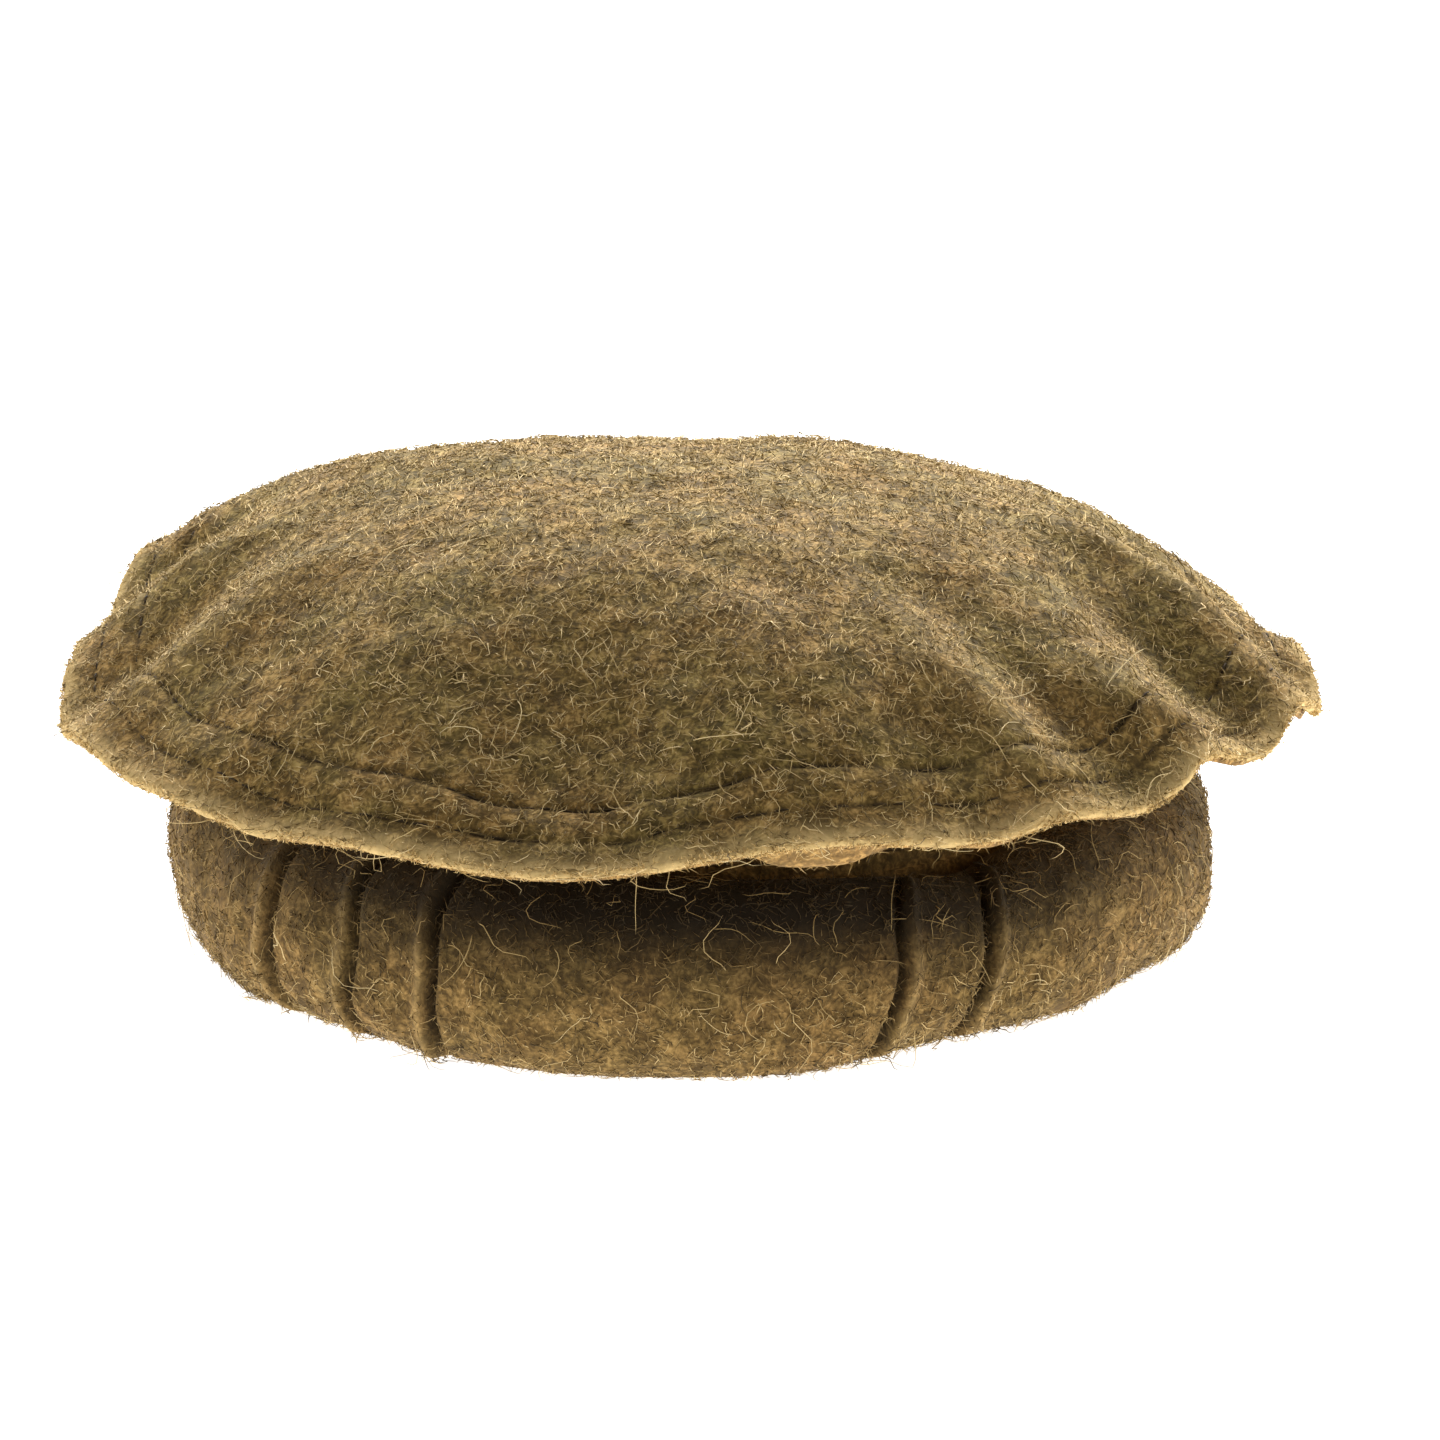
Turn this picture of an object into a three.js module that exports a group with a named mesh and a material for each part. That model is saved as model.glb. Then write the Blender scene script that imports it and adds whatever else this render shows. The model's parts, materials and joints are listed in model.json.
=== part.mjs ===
// A pakol: a soft wool hat with a wide round crown that overhangs a rolled band.
// Millimetres, +Z up. The hat rests on its band at z = 0, with its front towards -Y.
// An azimuth is measured in degrees from the front, and 90 is towards +X.
// Every length in a table is a share of the named size given in the line above it.
import * as THREE from 'three';

// The band: cloth rolled up outwards round the head opening.
const HEAD_RADIUS = 90.5;
const ROLL_DEPTH = 33;
const ROLL_HEIGHT = 46;
const REST_FLATTENING = 1;
const SECTION_POWER = 2.12;
const WALL_THICKNESS = 3;
const WALL_DROP = 3;
const GROOVE_DEPTH = 4;
const TUCK_HEIGHT = 2.2;
const TUCK_PUFF = 8;
const TUCK_FOOT = 5;
const CREASE_WIDTH = 1;

// The crown: a round top panel sewn to an underside panel along a wide flange.
const OVERHANG = 25;
const RIM_LIFT = 15;
const DOME_HEIGHT = 48;
const DOME_FULLNESS = 2.6;
const DOME_FLARE = 1.22;
const TOP_CLOTH = 2.4;
const UNDER_CLOTH = 2;
const FLANGE_WIDTH = 18;
const FLANGE_RECESS = 2.5;
const SEAM_GAP = 0.35;
const RIM_SWAY = 3;
const RIM_RISE = 11;
const FOLD_HEIGHT = 7;
const SWELL_HEIGHT = 8;
const GATHER_DROP = 6;

// Worked out from the sizes above.
const ROLL_OUTER_RADIUS = HEAD_RADIUS + ROLL_DEPTH;
const CROWN_RADIUS = ROLL_OUTER_RADIUS + OVERHANG;
const RIM_HEIGHT = ROLL_HEIGHT + RIM_LIFT;
const WALL_TOP = ROLL_HEIGHT - WALL_DROP;

// How the rim wanders: sway is a share of RIM_SWAY outwards, rise a share of RIM_RISE upwards.
const RIM_WAVES = [
  { at: 11, width: 14, sway: 0, rise: 0.25 },
  { at: 44, width: 10, sway: 0, rise: 0.25 },
  { at: 54, width: 7, sway: -1, rise: 0.4 },
  { at: 68, width: 8, sway: 0.1, rise: 0.5 },
  { at: 82, width: 8, sway: 0.5, rise: 0 },
  { at: 94, width: 7, sway: -0.3, rise: 0.4 },
  { at: 105, width: 7, sway: -0.8, rise: -0.2 },
  { at: 124, width: 12, sway: 0, rise: 0.35 },
  { at: -40, width: 9, sway: 0, rise: -0.3 },
  { at: -60, width: 12, sway: 0, rise: -0.15 },
  { at: -71, width: 5, sway: 0, rise: -0.12 },
  { at: -77, width: 8, sway: 0.3, rise: -0.15 },
  { at: -104, width: 6, sway: -0.8, rise: 0 },
  { at: -116, width: 12, sway: 0.6, rise: 1.15 },
];

// Folds that run over the crown to its rim: lift is a share of FOLD_HEIGHT, lean is the turn in
// degrees from rim to centre, and from is the share of the crown's radius where the fold starts.
const FOLDS = [
  { at: -126, lean: -20, width: 10, lift: 0.5, from: 0.5 },
  { at: -106, lean: -20, width: 5, lift: -0.75, from: 0.55 },
  { at: -95, lean: -8, width: 6, lift: 0.6, from: 0.5 },
  { at: -80, lean: -14, width: 5.5, lift: -0.85, from: 0.6 },
  { at: -70, lean: -10, width: 7, lift: 0.6, from: 0.4 },
  { at: -40, lean: 0, width: 16, lift: 0.3, from: 0.4 },
  { at: -14, lean: 0, width: 12, lift: -0.85, from: 0.35 },
  { at: 12, lean: 0, width: 11, lift: 0.55, from: 0.35 },
  { at: 34, lean: 0, width: 6, lift: 0.8, from: 0.45 },
  { at: 44, lean: -8, width: 7, lift: -0.65, from: 0.4 },
  { at: 54, lean: -30, width: 6, lift: 0.45, from: 0.5 },
  { at: 62, lean: 20, width: 5.5, lift: -0.85, from: 0.5 },
  { at: 71.5, lean: 40, width: 6, lift: 0.95, from: 0.4 },
  { at: 82, lean: 42, width: 5, lift: -0.6, from: 0.6 },
  { at: 112, lean: 20, width: 9, lift: 0.45, from: 0.5 },
  { at: 135, lean: 0, width: 14, lift: 0.4, from: 0.4 },
  { at: 158, lean: 0, width: 12, lift: -0.5, from: 0.4 },
  { at: -178, lean: 0, width: 14, lift: 0.4, from: 0.4 },
  { at: -150, lean: 0, width: 12, lift: -0.4, from: 0.4 },
];

// Broad swells of the dome: reach and spread are shares of the crown's radius, lift of SWELL_HEIGHT.
const SWELLS = [
  { at: -121, reach: 0.62, spread: 0.32, lift: 1 },
  { at: 130, reach: 0.45, spread: 0.3, lift: 0.35 },
  { at: 60, reach: 0.55, spread: 0.22, lift: 0.15 },
];

// Pleats pressed into the band: height is a share of TUCK_HEIGHT, and the pleat's edge faces
// round the band towards +azimuth where side is 1.
const TUCKS = [
  { at: -150, side: -1, height: 1 },
  { at: -138, side: -1, height: 0.8 },
  { at: -126, side: -1, height: 1 },
  { at: -51, side: 1, height: 1 },
  { at: -38.8, side: 1, height: 0.8 },
  { at: -28, side: 1, height: 1 },
  { at: 22.8, side: -1, height: 0.9 },
  { at: 33.8, side: -1, height: 1 },
  { at: 145, side: 1, height: 0.9 },
  { at: 156, side: 1, height: 1 },
];

// Where the band is fuller: deeper is a share of ROLL_DEPTH, taller and raised of ROLL_HEIGHT.
const BAND_WAVES = [
  { at: -90, width: 30, deeper: 0, taller: 0.05, raised: 0 },
  { at: -40, width: 14, deeper: -0.05, taller: -0.03, raised: 0.03 },
  { at: -28, width: 26, deeper: 0.06, taller: 0, raised: 0 },
  { at: 10, width: 22, deeper: 0, taller: -0.04, raised: 0.01 },
  { at: 33, width: 13, deeper: -0.05, taller: -0.2, raised: 0.08 },
  { at: 56, width: 15, deeper: -0.05, taller: -0.08, raised: 0.055 },
  { at: 80, width: 16, deeper: 0, taller: -0.06, raised: 0 },
  { at: 92, width: 18, deeper: 0.05, taller: 0, raised: 0 },
];

// Puckers of the underside panel below the flange: drop is a share of GATHER_DROP.
const GATHERS = [
  { at: -165, width: 8, drop: 0.4 },
  { at: -140, width: 8, drop: 0.4 },
  { at: -48, width: 8, drop: 0.3 },
  { at: -30, width: 6, drop: 0.3 },
  { at: 11, width: 5.5, drop: 1.75 },
  { at: 29, width: 8, drop: 1.1 },
  { at: 60, width: 7, drop: 0.3 },
  { at: 140, width: 8, drop: 0.4 },
  { at: 165, width: 8, drop: 0.4 },
];

// How finely the faces are divided.
const CROWN_COLUMNS = 90;
const BAND_COLUMNS = 72;
const TOP_RINGS = [0.11, 0.23, 0.35, 0.46, 0.55, 0.63, 0.7, 0.76, 0.82, 0.87, 0.915, 0.96];
const LINING_RINGS = [0.79, 0.7, 0.59, 0.45, 0.29, 0.13];
const FLANGE_STEPS = 3;
const DRAPE_STEPS = 4;
const OUTER_ANGLES = [104, 86, 70, 54, 38, 22, 6, -10, -26, -42, -58, -72, -84];
const INNER_ANGLES = [-96, -116, -142];

const radians = THREE.MathUtils.degToRad;
const wrapped = (degrees) => THREE.MathUtils.euclideanModulo(degrees + 180, 360) - 180;
const bell = (x) => Math.exp(-x * x);
const ease = (t) => THREE.MathUtils.smoothstep(t, 0, 1);
const around = (azimuth, row) => bell(wrapped(azimuth - row.at) / row.width);
const total = (rows, share) => rows.reduce((sum, row) => sum + share(row), 0);

function onAxis(azimuth, radius, height) {
  const turn = radians(azimuth);
  return new THREE.Vector3(radius * Math.sin(turn), -radius * Math.cos(turn), height);
}

function evenAzimuths(count) {
  return Array.from({ length: count }, (_, i) => -180 + (360 * i) / count);
}

// The height that one fold adds at a share of the crown's radius. A fold widens inwards.
function foldLift(fold, azimuth, share) {
  const off = wrapped(azimuth - fold.at - fold.lean * (1 - share));
  const width = fold.width / Math.sqrt(Math.max(share, 0.25));
  const grown = ease((share - fold.from) / 0.35) * (1 - 0.5 * ease((share - 0.8) / 0.2));
  return FOLD_HEIGHT * fold.lift * bell(off / width) * grown;
}

function swellLift(swell, point) {
  const centre = onAxis(swell.at, swell.reach * CROWN_RADIUS, 0);
  const distance = Math.hypot(point.x - centre.x, point.y - centre.y);
  return SWELL_HEIGHT * swell.lift * bell(distance / (swell.spread * CROWN_RADIUS));
}

// A point of the crown's outer face, at a share of its radius from the centre.
function crownFace(azimuth, share) {
  const sway = RIM_SWAY * total(RIM_WAVES, (wave) => wave.sway * around(azimuth, wave));
  const rise = RIM_RISE * total(RIM_WAVES, (wave) => wave.rise * around(azimuth, wave));
  const dome = Math.max(1 - share ** DOME_FULLNESS, 0) ** DOME_FLARE;
  const height = RIM_HEIGHT + DOME_HEIGHT * dome + rise * ease((share - 0.45) / 0.55);
  const point = onAxis(azimuth, share * (CROWN_RADIUS + sway * share), height);
  point.z += total(FOLDS, (fold) => foldLift(fold, azimuth, share));
  point.z += total(SWELLS, (swell) => swellLift(swell, point));
  return point;
}

// A point under the crown's outer face, at a depth square to it.
function crownDepth(azimuth, share, depth) {
  const turn = 0.4;
  const reach = 0.004;
  const across = crownFace(azimuth + turn, share).sub(crownFace(azimuth - turn, share));
  const outward = crownFace(azimuth, share + reach).sub(crownFace(azimuth, share - reach));
  const normal = outward.cross(across).normalize();
  return crownFace(azimuth, share).addScaledVector(normal, -depth);
}

// The shares of the crown's radius where the flange lies, from the rim inwards.
function flangeShares() {
  const first = 1 - FLANGE_RECESS / CROWN_RADIUS;
  const step = FLANGE_WIDTH / CROWN_RADIUS / FLANGE_STEPS;
  return Array.from({ length: FLANGE_STEPS + 1 }, (_, i) => first - i * step);
}

function tuckRelief(tuck, azimuth) {
  const along = radians(wrapped(azimuth - tuck.at)) * ROLL_OUTER_RADIUS * tuck.side;
  const relief = along < 0 ? 0.8 * bell(along / TUCK_PUFF) : -0.9 * Math.exp(-along / TUCK_FOOT);
  return TUCK_HEIGHT * tuck.height * relief;
}

// A point of the band's round section: angle 0 is outermost and 90 is on top.
function rollFace(azimuth, angle) {
  const cosine = Math.cos(radians(angle));
  const sine = Math.sin(radians(angle));
  const power = SECTION_POWER;
  const round = (Math.abs(cosine) ** power + Math.abs(sine) ** power) ** (-1 / power);
  const outside = Math.max(cosine, 0);
  const grown = ease((sine + 1) / 0.2) * ease((cosine + 0.3) / 0.5);
  const relief = grown * total(TUCKS, (tuck) => tuckRelief(tuck, azimuth));
  const deeper = total(BAND_WAVES, (wave) => wave.deeper * around(azimuth, wave));
  const taller = total(BAND_WAVES, (wave) => wave.taller * around(azimuth, wave));
  const raised = total(BAND_WAVES, (wave) => wave.raised * around(azimuth, wave));
  const depth = ROLL_DEPTH * (cosine > 0 ? 1 + 2 * deeper : 1);
  const radius = HEAD_RADIUS + ROLL_DEPTH / 2 + (depth / 2) * round * cosine + relief * outside;
  const middle = (ROLL_HEIGHT / 2) * (1 + taller);
  const height = middle * (1 + round * sine) + raised * ROLL_HEIGHT - REST_FLATTENING;
  return onAxis(azimuth, radius, Math.max(height + (cosine > 0 ? relief * sine : 0), 0));
}

// The inner wall against the head, with a flat top and a groove where the last turn dives in.
function wallFace(azimuth) {
  const bevel = WALL_THICKNESS / 5;
  const edge = HEAD_RADIUS + WALL_THICKNESS;
  return [
    [HEAD_RADIUS, WALL_TOP / 3],
    [HEAD_RADIUS, WALL_TOP - bevel],
    [HEAD_RADIUS + bevel, WALL_TOP],
    [edge - bevel, WALL_TOP],
    [edge, WALL_TOP - GROOVE_DEPTH],
    [edge + WALL_THICKNESS, WALL_TOP - bevel * 2],
  ].map(([radius, height]) => onAxis(azimuth, radius, height));
}

// The line along which the underside panel hangs from the flange down to the wall's top.
function drapeLine(azimuth) {
  const shares = flangeShares();
  const depth = TOP_CLOTH + SEAM_GAP + UNDER_CLOTH / 2;
  const start = crownDepth(azimuth, shares[FLANGE_STEPS], depth);
  const startRadius = Math.hypot(start.x, start.y);
  const endRadius = HEAD_RADIUS + WALL_THICKNESS / 2;
  const reach = startRadius - endRadius;
  const fall = start.z - WALL_TOP;
  return new THREE.CubicBezierCurve(
    new THREE.Vector2(startRadius, start.z),
    new THREE.Vector2(endRadius + 0.68 * reach, WALL_TOP + 0.62 * fall),
    new THREE.Vector2(endRadius, WALL_TOP + 0.25 * fall),
    new THREE.Vector2(endRadius, WALL_TOP + SEAM_GAP),
  );
}

function gatherDrop(azimuth, inwards) {
  const shape = ease(inwards / 0.13) * (1 - ease((inwards - 0.4) / 0.45));
  return GATHER_DROP * shape * total(GATHERS, (row) => row.drop * around(azimuth, row));
}

// The underside panel's section from the rim to the neck, offset to one face of its cloth.
function undersideFace(azimuth, side) {
  const depth = TOP_CLOTH + SEAM_GAP + UNDER_CLOTH * (side > 0 ? 0 : 1);
  const flange = flangeShares().map((share) => crownDepth(azimuth, share, depth));
  const line = drapeLine(azimuth);
  const drape = Array.from({ length: DRAPE_STEPS }, (_, i) => {
    const t = (i + 1) / DRAPE_STEPS;
    const middle = line.getPoint(t);
    const along = line.getTangent(t);
    const offset = (side * UNDER_CLOTH) / 2;
    return onAxis(azimuth, middle.x + along.y * offset, middle.y - along.x * offset);
  });
  const section = [...flange, ...drape];
  section.forEach((point, i) => {
    point.z -= gatherDrop(azimuth, i / (section.length - 1));
  });
  return section;
}

// Joins sections, one for each azimuth, into a closed body. A section that starts and ends on
// the axis is capped with one point at each end, and any other section closes on itself.
// The panels' facing sides run in opposite orders, so one is mirrored to share its diagonals.
function closedBody(sections, poles = [], mirrored = false) {
  const columns = sections.length;
  const rows = sections[0].length;
  const points = [...sections.flat(), ...poles];
  const index = [];
  for (let column = 0; column < columns; column++) {
    const here = column * rows;
    const next = ((column + 1) % columns) * rows;
    const lastRow = poles.length ? rows - 1 : rows;
    for (let row = 0; row < lastRow; row++) {
      const below = (row + 1) % rows;
      index.push(here + row, here + below, mirrored ? next + row : next + below);
      index.push(mirrored ? here + below : here + row, next + below, next + row);
    }
    if (poles.length) {
      const first = columns * rows;
      index.push(first, here, next);
      index.push(first + 1, next + rows - 1, here + rows - 1);
    }
  }
  const geometry = new THREE.BufferGeometry().setFromPoints(points);
  geometry.setIndex(index);
  geometry.computeVertexNormals();
  return geometry;
}

// The top panel: its outer face from the centre out, its rounded edge, and its inner face back.
function crownTop() {
  const edge = 1 - (0.4 * TOP_CLOTH) / CROWN_RADIUS;
  const sections = evenAzimuths(CROWN_COLUMNS).map((azimuth) => [
    ...TOP_RINGS.map((share) => crownFace(azimuth, share)),
    crownFace(azimuth, edge),
    crownDepth(azimuth, 1, TOP_CLOTH / 2),
    ...[edge, ...flangeShares(), ...LINING_RINGS].map((share) =>
      crownDepth(azimuth, share, TOP_CLOTH)),
  ]);
  const peak = crownFace(0, 0);
  const inside = peak.clone().setZ(peak.z - TOP_CLOTH);
  return closedBody(sections, [peak, inside]);
}

// The underside panel: a ring sewn under the crown's rim that hangs down to the band.
function crownUnderside() {
  const sections = evenAzimuths(CROWN_COLUMNS).map((azimuth) => [
    ...undersideFace(azimuth, 1).reverse(),
    ...undersideFace(azimuth, -1),
  ]);
  return closedBody(sections, [], true);
}

// The band's azimuths: even steps, with a raised edge and a foot at each pleat instead.
function bandAzimuths() {
  const perLength = 360 / (2 * Math.PI * ROLL_OUTER_RADIUS);
  const pleats = TUCKS.flatMap((tuck) =>
    [-0.3 * TUCK_PUFF, -CREASE_WIDTH / 2, CREASE_WIDTH / 2].map((along) =>
      tuck.at + along * tuck.side * perLength));
  const clear = evenAzimuths(BAND_COLUMNS).filter((azimuth) =>
    pleats.every((pleat) => Math.abs(wrapped(azimuth - pleat)) > TUCK_PUFF * perLength / 3));
  return [...clear, ...pleats].sort((a, b) => a - b);
}

function rolledBand() {
  return closedBody(bandAzimuths().map((azimuth) => [
    ...wallFace(azimuth),
    ...[...OUTER_ANGLES, ...INNER_ANGLES].map((angle) => rollFace(azimuth, angle)),
  ]));
}

function woolPiece(name, geometry, colour) {
  const wool = new THREE.MeshStandardMaterial({ color: colour, roughness: 0.95, metalness: 0 });
  const piece = new THREE.Mesh(geometry, wool);
  piece.name = name;
  return piece;
}

const hat = new THREE.Group();
hat.add(woolPiece('crown_top', crownTop(), 0x83724f));
hat.add(woolPiece('crown_underside', crownUnderside(), 0x6f5a38));
hat.add(woolPiece('rolled_band', rolledBand(), 0x6b5638));

// The rim is uneven, so the hat is moved until its outline is centred on the origin.
const middle = new THREE.Box3().setFromObject(hat).getCenter(new THREE.Vector3());
hat.position.set(-middle.x, -middle.y, 0);

export default hat;
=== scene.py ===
"""Dresses a pakol: its wool panels, rolled band, rim stitching, fuzz and loose hairs.

Lengths are metres, in the part's own frame. An azimuth is in degrees from the front (-Y),
and 90 is towards +X. A share counts from the crown's centre, 0, to its rim, 1.
"""
import json
import logging
import math
from dataclasses import dataclass, field
from enum import Enum
from typing import Callable, NamedTuple, Sequence

import bpy
import numpy as np
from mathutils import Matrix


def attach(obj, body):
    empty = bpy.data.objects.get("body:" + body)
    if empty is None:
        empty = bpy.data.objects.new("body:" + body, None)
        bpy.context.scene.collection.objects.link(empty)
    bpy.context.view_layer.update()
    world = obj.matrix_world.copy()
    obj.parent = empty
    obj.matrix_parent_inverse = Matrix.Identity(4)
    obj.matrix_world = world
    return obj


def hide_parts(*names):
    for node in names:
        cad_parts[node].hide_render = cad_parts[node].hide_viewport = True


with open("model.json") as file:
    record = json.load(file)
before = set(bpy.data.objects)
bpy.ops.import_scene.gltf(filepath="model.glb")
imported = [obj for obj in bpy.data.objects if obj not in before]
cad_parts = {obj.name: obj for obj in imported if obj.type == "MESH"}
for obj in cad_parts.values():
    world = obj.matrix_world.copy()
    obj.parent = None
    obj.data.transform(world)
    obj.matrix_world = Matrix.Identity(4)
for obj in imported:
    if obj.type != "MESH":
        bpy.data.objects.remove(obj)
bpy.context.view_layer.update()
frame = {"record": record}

MM = 0.001
SHEEN_TINT = (1.0, 0.8, 0.5, 1.0)
WHITE = (1.0, 1.0, 1.0, 1.0)
TONE_STOPS = (0.15, 0.36, 0.5, 0.65, 0.88)
log = logging.getLogger("pakol")


class RimWave(NamedTuple):
    """A wave of the rim: sway is a share of the form's rim_sway, rise of its rim_rise."""

    at: float
    width: float
    sway: float
    rise: float


class Fold(NamedTuple):
    """A fold of the crown: lift is a share of the form's fold_height."""

    at: float
    lean: float
    width: float
    lift: float
    start: float


class Swell(NamedTuple):
    """A broad swell of the dome: reach and spread are shares of the crown's radius."""

    at: float
    reach: float
    spread: float
    lift: float


class Pleat(NamedTuple):
    """A pleat pressed into the band: its edge faces +azimuth where side is 1."""

    at: float
    side: int
    height: float


class BandWave(NamedTuple):
    """Where the band is fuller: shares of its depth and height."""

    at: float
    width: float
    deeper: float
    taller: float
    raised: float


class Gather(NamedTuple):
    """A pucker of the underside panel: drop is a share of the form's gather_drop."""

    at: float
    width: float
    drop: float


class Crease(NamedTuple):
    """A sharp ridge or furrow on a fold: lift is a share of the panel's crease_height."""

    at: float
    lean: float
    width: float
    lift: float
    start: float


RIM_WAVES = tuple(RimWave(*row) for row in (
    (11, 14, 0, 0.25), (44, 10, 0, 0.25), (54, 7, -1, 0.4), (68, 8, 0.1, 0.5), (82, 8, 0.5, 0),
    (94, 7, -0.3, 0.4), (105, 7, -0.8, -0.2), (124, 12, 0, 0.35), (-40, 9, 0, -0.3),
    (-60, 12, 0, -0.15), (-71, 5, 0, -0.12), (-77, 8, 0.3, -0.15), (-104, 6, -0.8, 0),
    (-116, 12, 0.6, 1.15),
))
FOLDS = tuple(Fold(*row) for row in (
    (-126, -20, 10, 0.5, 0.5), (-106, -20, 5, -0.75, 0.55), (-95, -8, 6, 0.6, 0.5),
    (-80, -14, 5.5, -0.85, 0.6), (-70, -10, 7, 0.6, 0.4), (-40, 0, 16, 0.3, 0.4),
    (-14, 0, 12, -0.85, 0.35), (12, 0, 11, 0.55, 0.35), (34, 0, 6, 0.8, 0.45),
    (44, -8, 7, -0.65, 0.4), (54, -30, 6, 0.45, 0.5), (62, 20, 5.5, -0.85, 0.5),
    (71.5, 40, 6, 0.95, 0.4), (82, 42, 5, -0.6, 0.6), (112, 20, 9, 0.45, 0.5),
    (135, 0, 14, 0.4, 0.4), (158, 0, 12, -0.5, 0.4), (-178, 0, 14, 0.4, 0.4),
    (-150, 0, 12, -0.4, 0.4),
))
SWELLS = tuple(Swell(*row) for row in (
    (-121, 0.62, 0.32, 1), (130, 0.45, 0.3, 0.35), (60, 0.55, 0.22, 0.15),
))
PLEATS = tuple(Pleat(*row) for row in (
    (-150, -1, 1), (-138, -1, 0.8), (-126, -1, 1), (-51, 1, 1), (-38.8, 1, 0.8), (-28, 1, 1),
    (22.8, -1, 0.9), (33.8, -1, 1), (145, 1, 0.9), (156, 1, 1),
))
BAND_WAVES = tuple(BandWave(*row) for row in (
    (-90, 30, 0, 0.05, 0), (-40, 14, -0.05, -0.03, 0.03), (-28, 26, 0.06, 0, 0),
    (10, 22, 0, -0.04, 0.01), (33, 13, -0.05, -0.2, 0.08), (56, 15, -0.05, -0.08, 0.055),
    (80, 16, 0, -0.06, 0), (92, 18, 0.05, 0, 0),
))
GATHERS = tuple(Gather(*row) for row in (
    (-165, 8, 0.4), (-140, 8, 0.4), (-48, 8, 0.3), (-30, 6, 0.3), (11, 5.5, 1.75), (29, 8, 1.1),
    (60, 7, 0.3), (140, 8, 0.4), (165, 8, 0.4),
))
CREASES = tuple(Crease(*row) for row in (
    (-95, -8, 3.5, 0.6, 0.6), (-80, -14, 4, -0.4, 0.75), (-70.5, -8, 4, 0.45, 0.6),
    (35, -12, 4, 0.5, 0.55), (44, -8, 4, -0.35, 0.5), (54.5, -30, 4, 0.4, 0.6),
    (62, 20, 4, -0.35, 0.55), (71.5, 40, 2.8, 0.8, 0.5), (81, 42, 3, -0.5, 0.7),
    (-8, 0, 4, -0.25, 0.6), (108, 20, 3, 0.5, 0.6), (-152, 5, 4, -0.5, 0.6),
    (160, -6, 4, -0.6, 0.55),
))


def wrapped(degrees: np.ndarray) -> np.ndarray:
    """An angle turned into -180 to 180 degrees."""
    return (degrees + 180.0) % 360.0 - 180.0


def bell(x: np.ndarray) -> np.ndarray:
    """exp(-x squared): 1 in the middle, 0.37 at 1."""
    return np.exp(-x * x)


def bell_at(azimuth: np.ndarray, at: float, width: float) -> np.ndarray:
    """A bell about an azimuth, with angles and width in degrees."""
    return bell(wrapped(azimuth - at) / width)


def ease(t: np.ndarray) -> np.ndarray:
    """A smooth step from 0 to 1: 3 t squared - 2 t cubed, with t held between 0 and 1."""
    t = np.clip(t, 0.0, 1.0)
    return t * t * (3.0 - 2.0 * t)


def unit(vectors: np.ndarray) -> np.ndarray:
    """Vectors divided by their own length."""
    return vectors / np.maximum(np.linalg.norm(vectors, axis=-1, keepdims=True), 1e-12)


def on_axis(azimuth: np.ndarray, radius: np.ndarray, height: np.ndarray) -> np.ndarray:
    """Points at (radius sin azimuth, -radius cos azimuth, height)."""
    turn = np.radians(azimuth)
    azimuth, radius, height = np.broadcast_arrays(turn, radius, height)
    return np.stack([radius * np.sin(azimuth), -radius * np.cos(azimuth), height], axis=-1)


@dataclass(frozen=True)
class Ripples:
    """A smooth uneven field: the sum of sine waves in random directions.

    Attributes:
        seed: Fixes the random directions and phases.
        wavelength: The mean wavelength in metres.
        waves: How many sine waves are added.
    """

    seed: int
    wavelength: float
    waves: int = 14

    def at(self, points: np.ndarray) -> np.ndarray:
        """The field's value: sum of sin(k . p + phase) over the square root of the count.

        Args:
            points: Positions, shape (..., 3).

        Returns:
            Values of about -1 to 1, shape (...).
        """
        rng = np.random.default_rng(self.seed)
        direction = unit(rng.normal(size=(self.waves, 3)))
        length = self.wavelength * rng.uniform(0.65, 1.7, self.waves)
        phase = rng.uniform(0, 2 * np.pi, self.waves)
        angle = points @ (direction * (2 * np.pi / length)[:, None]).T + phase
        return np.sin(angle).sum(axis=-1) / math.sqrt(self.waves)


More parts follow.
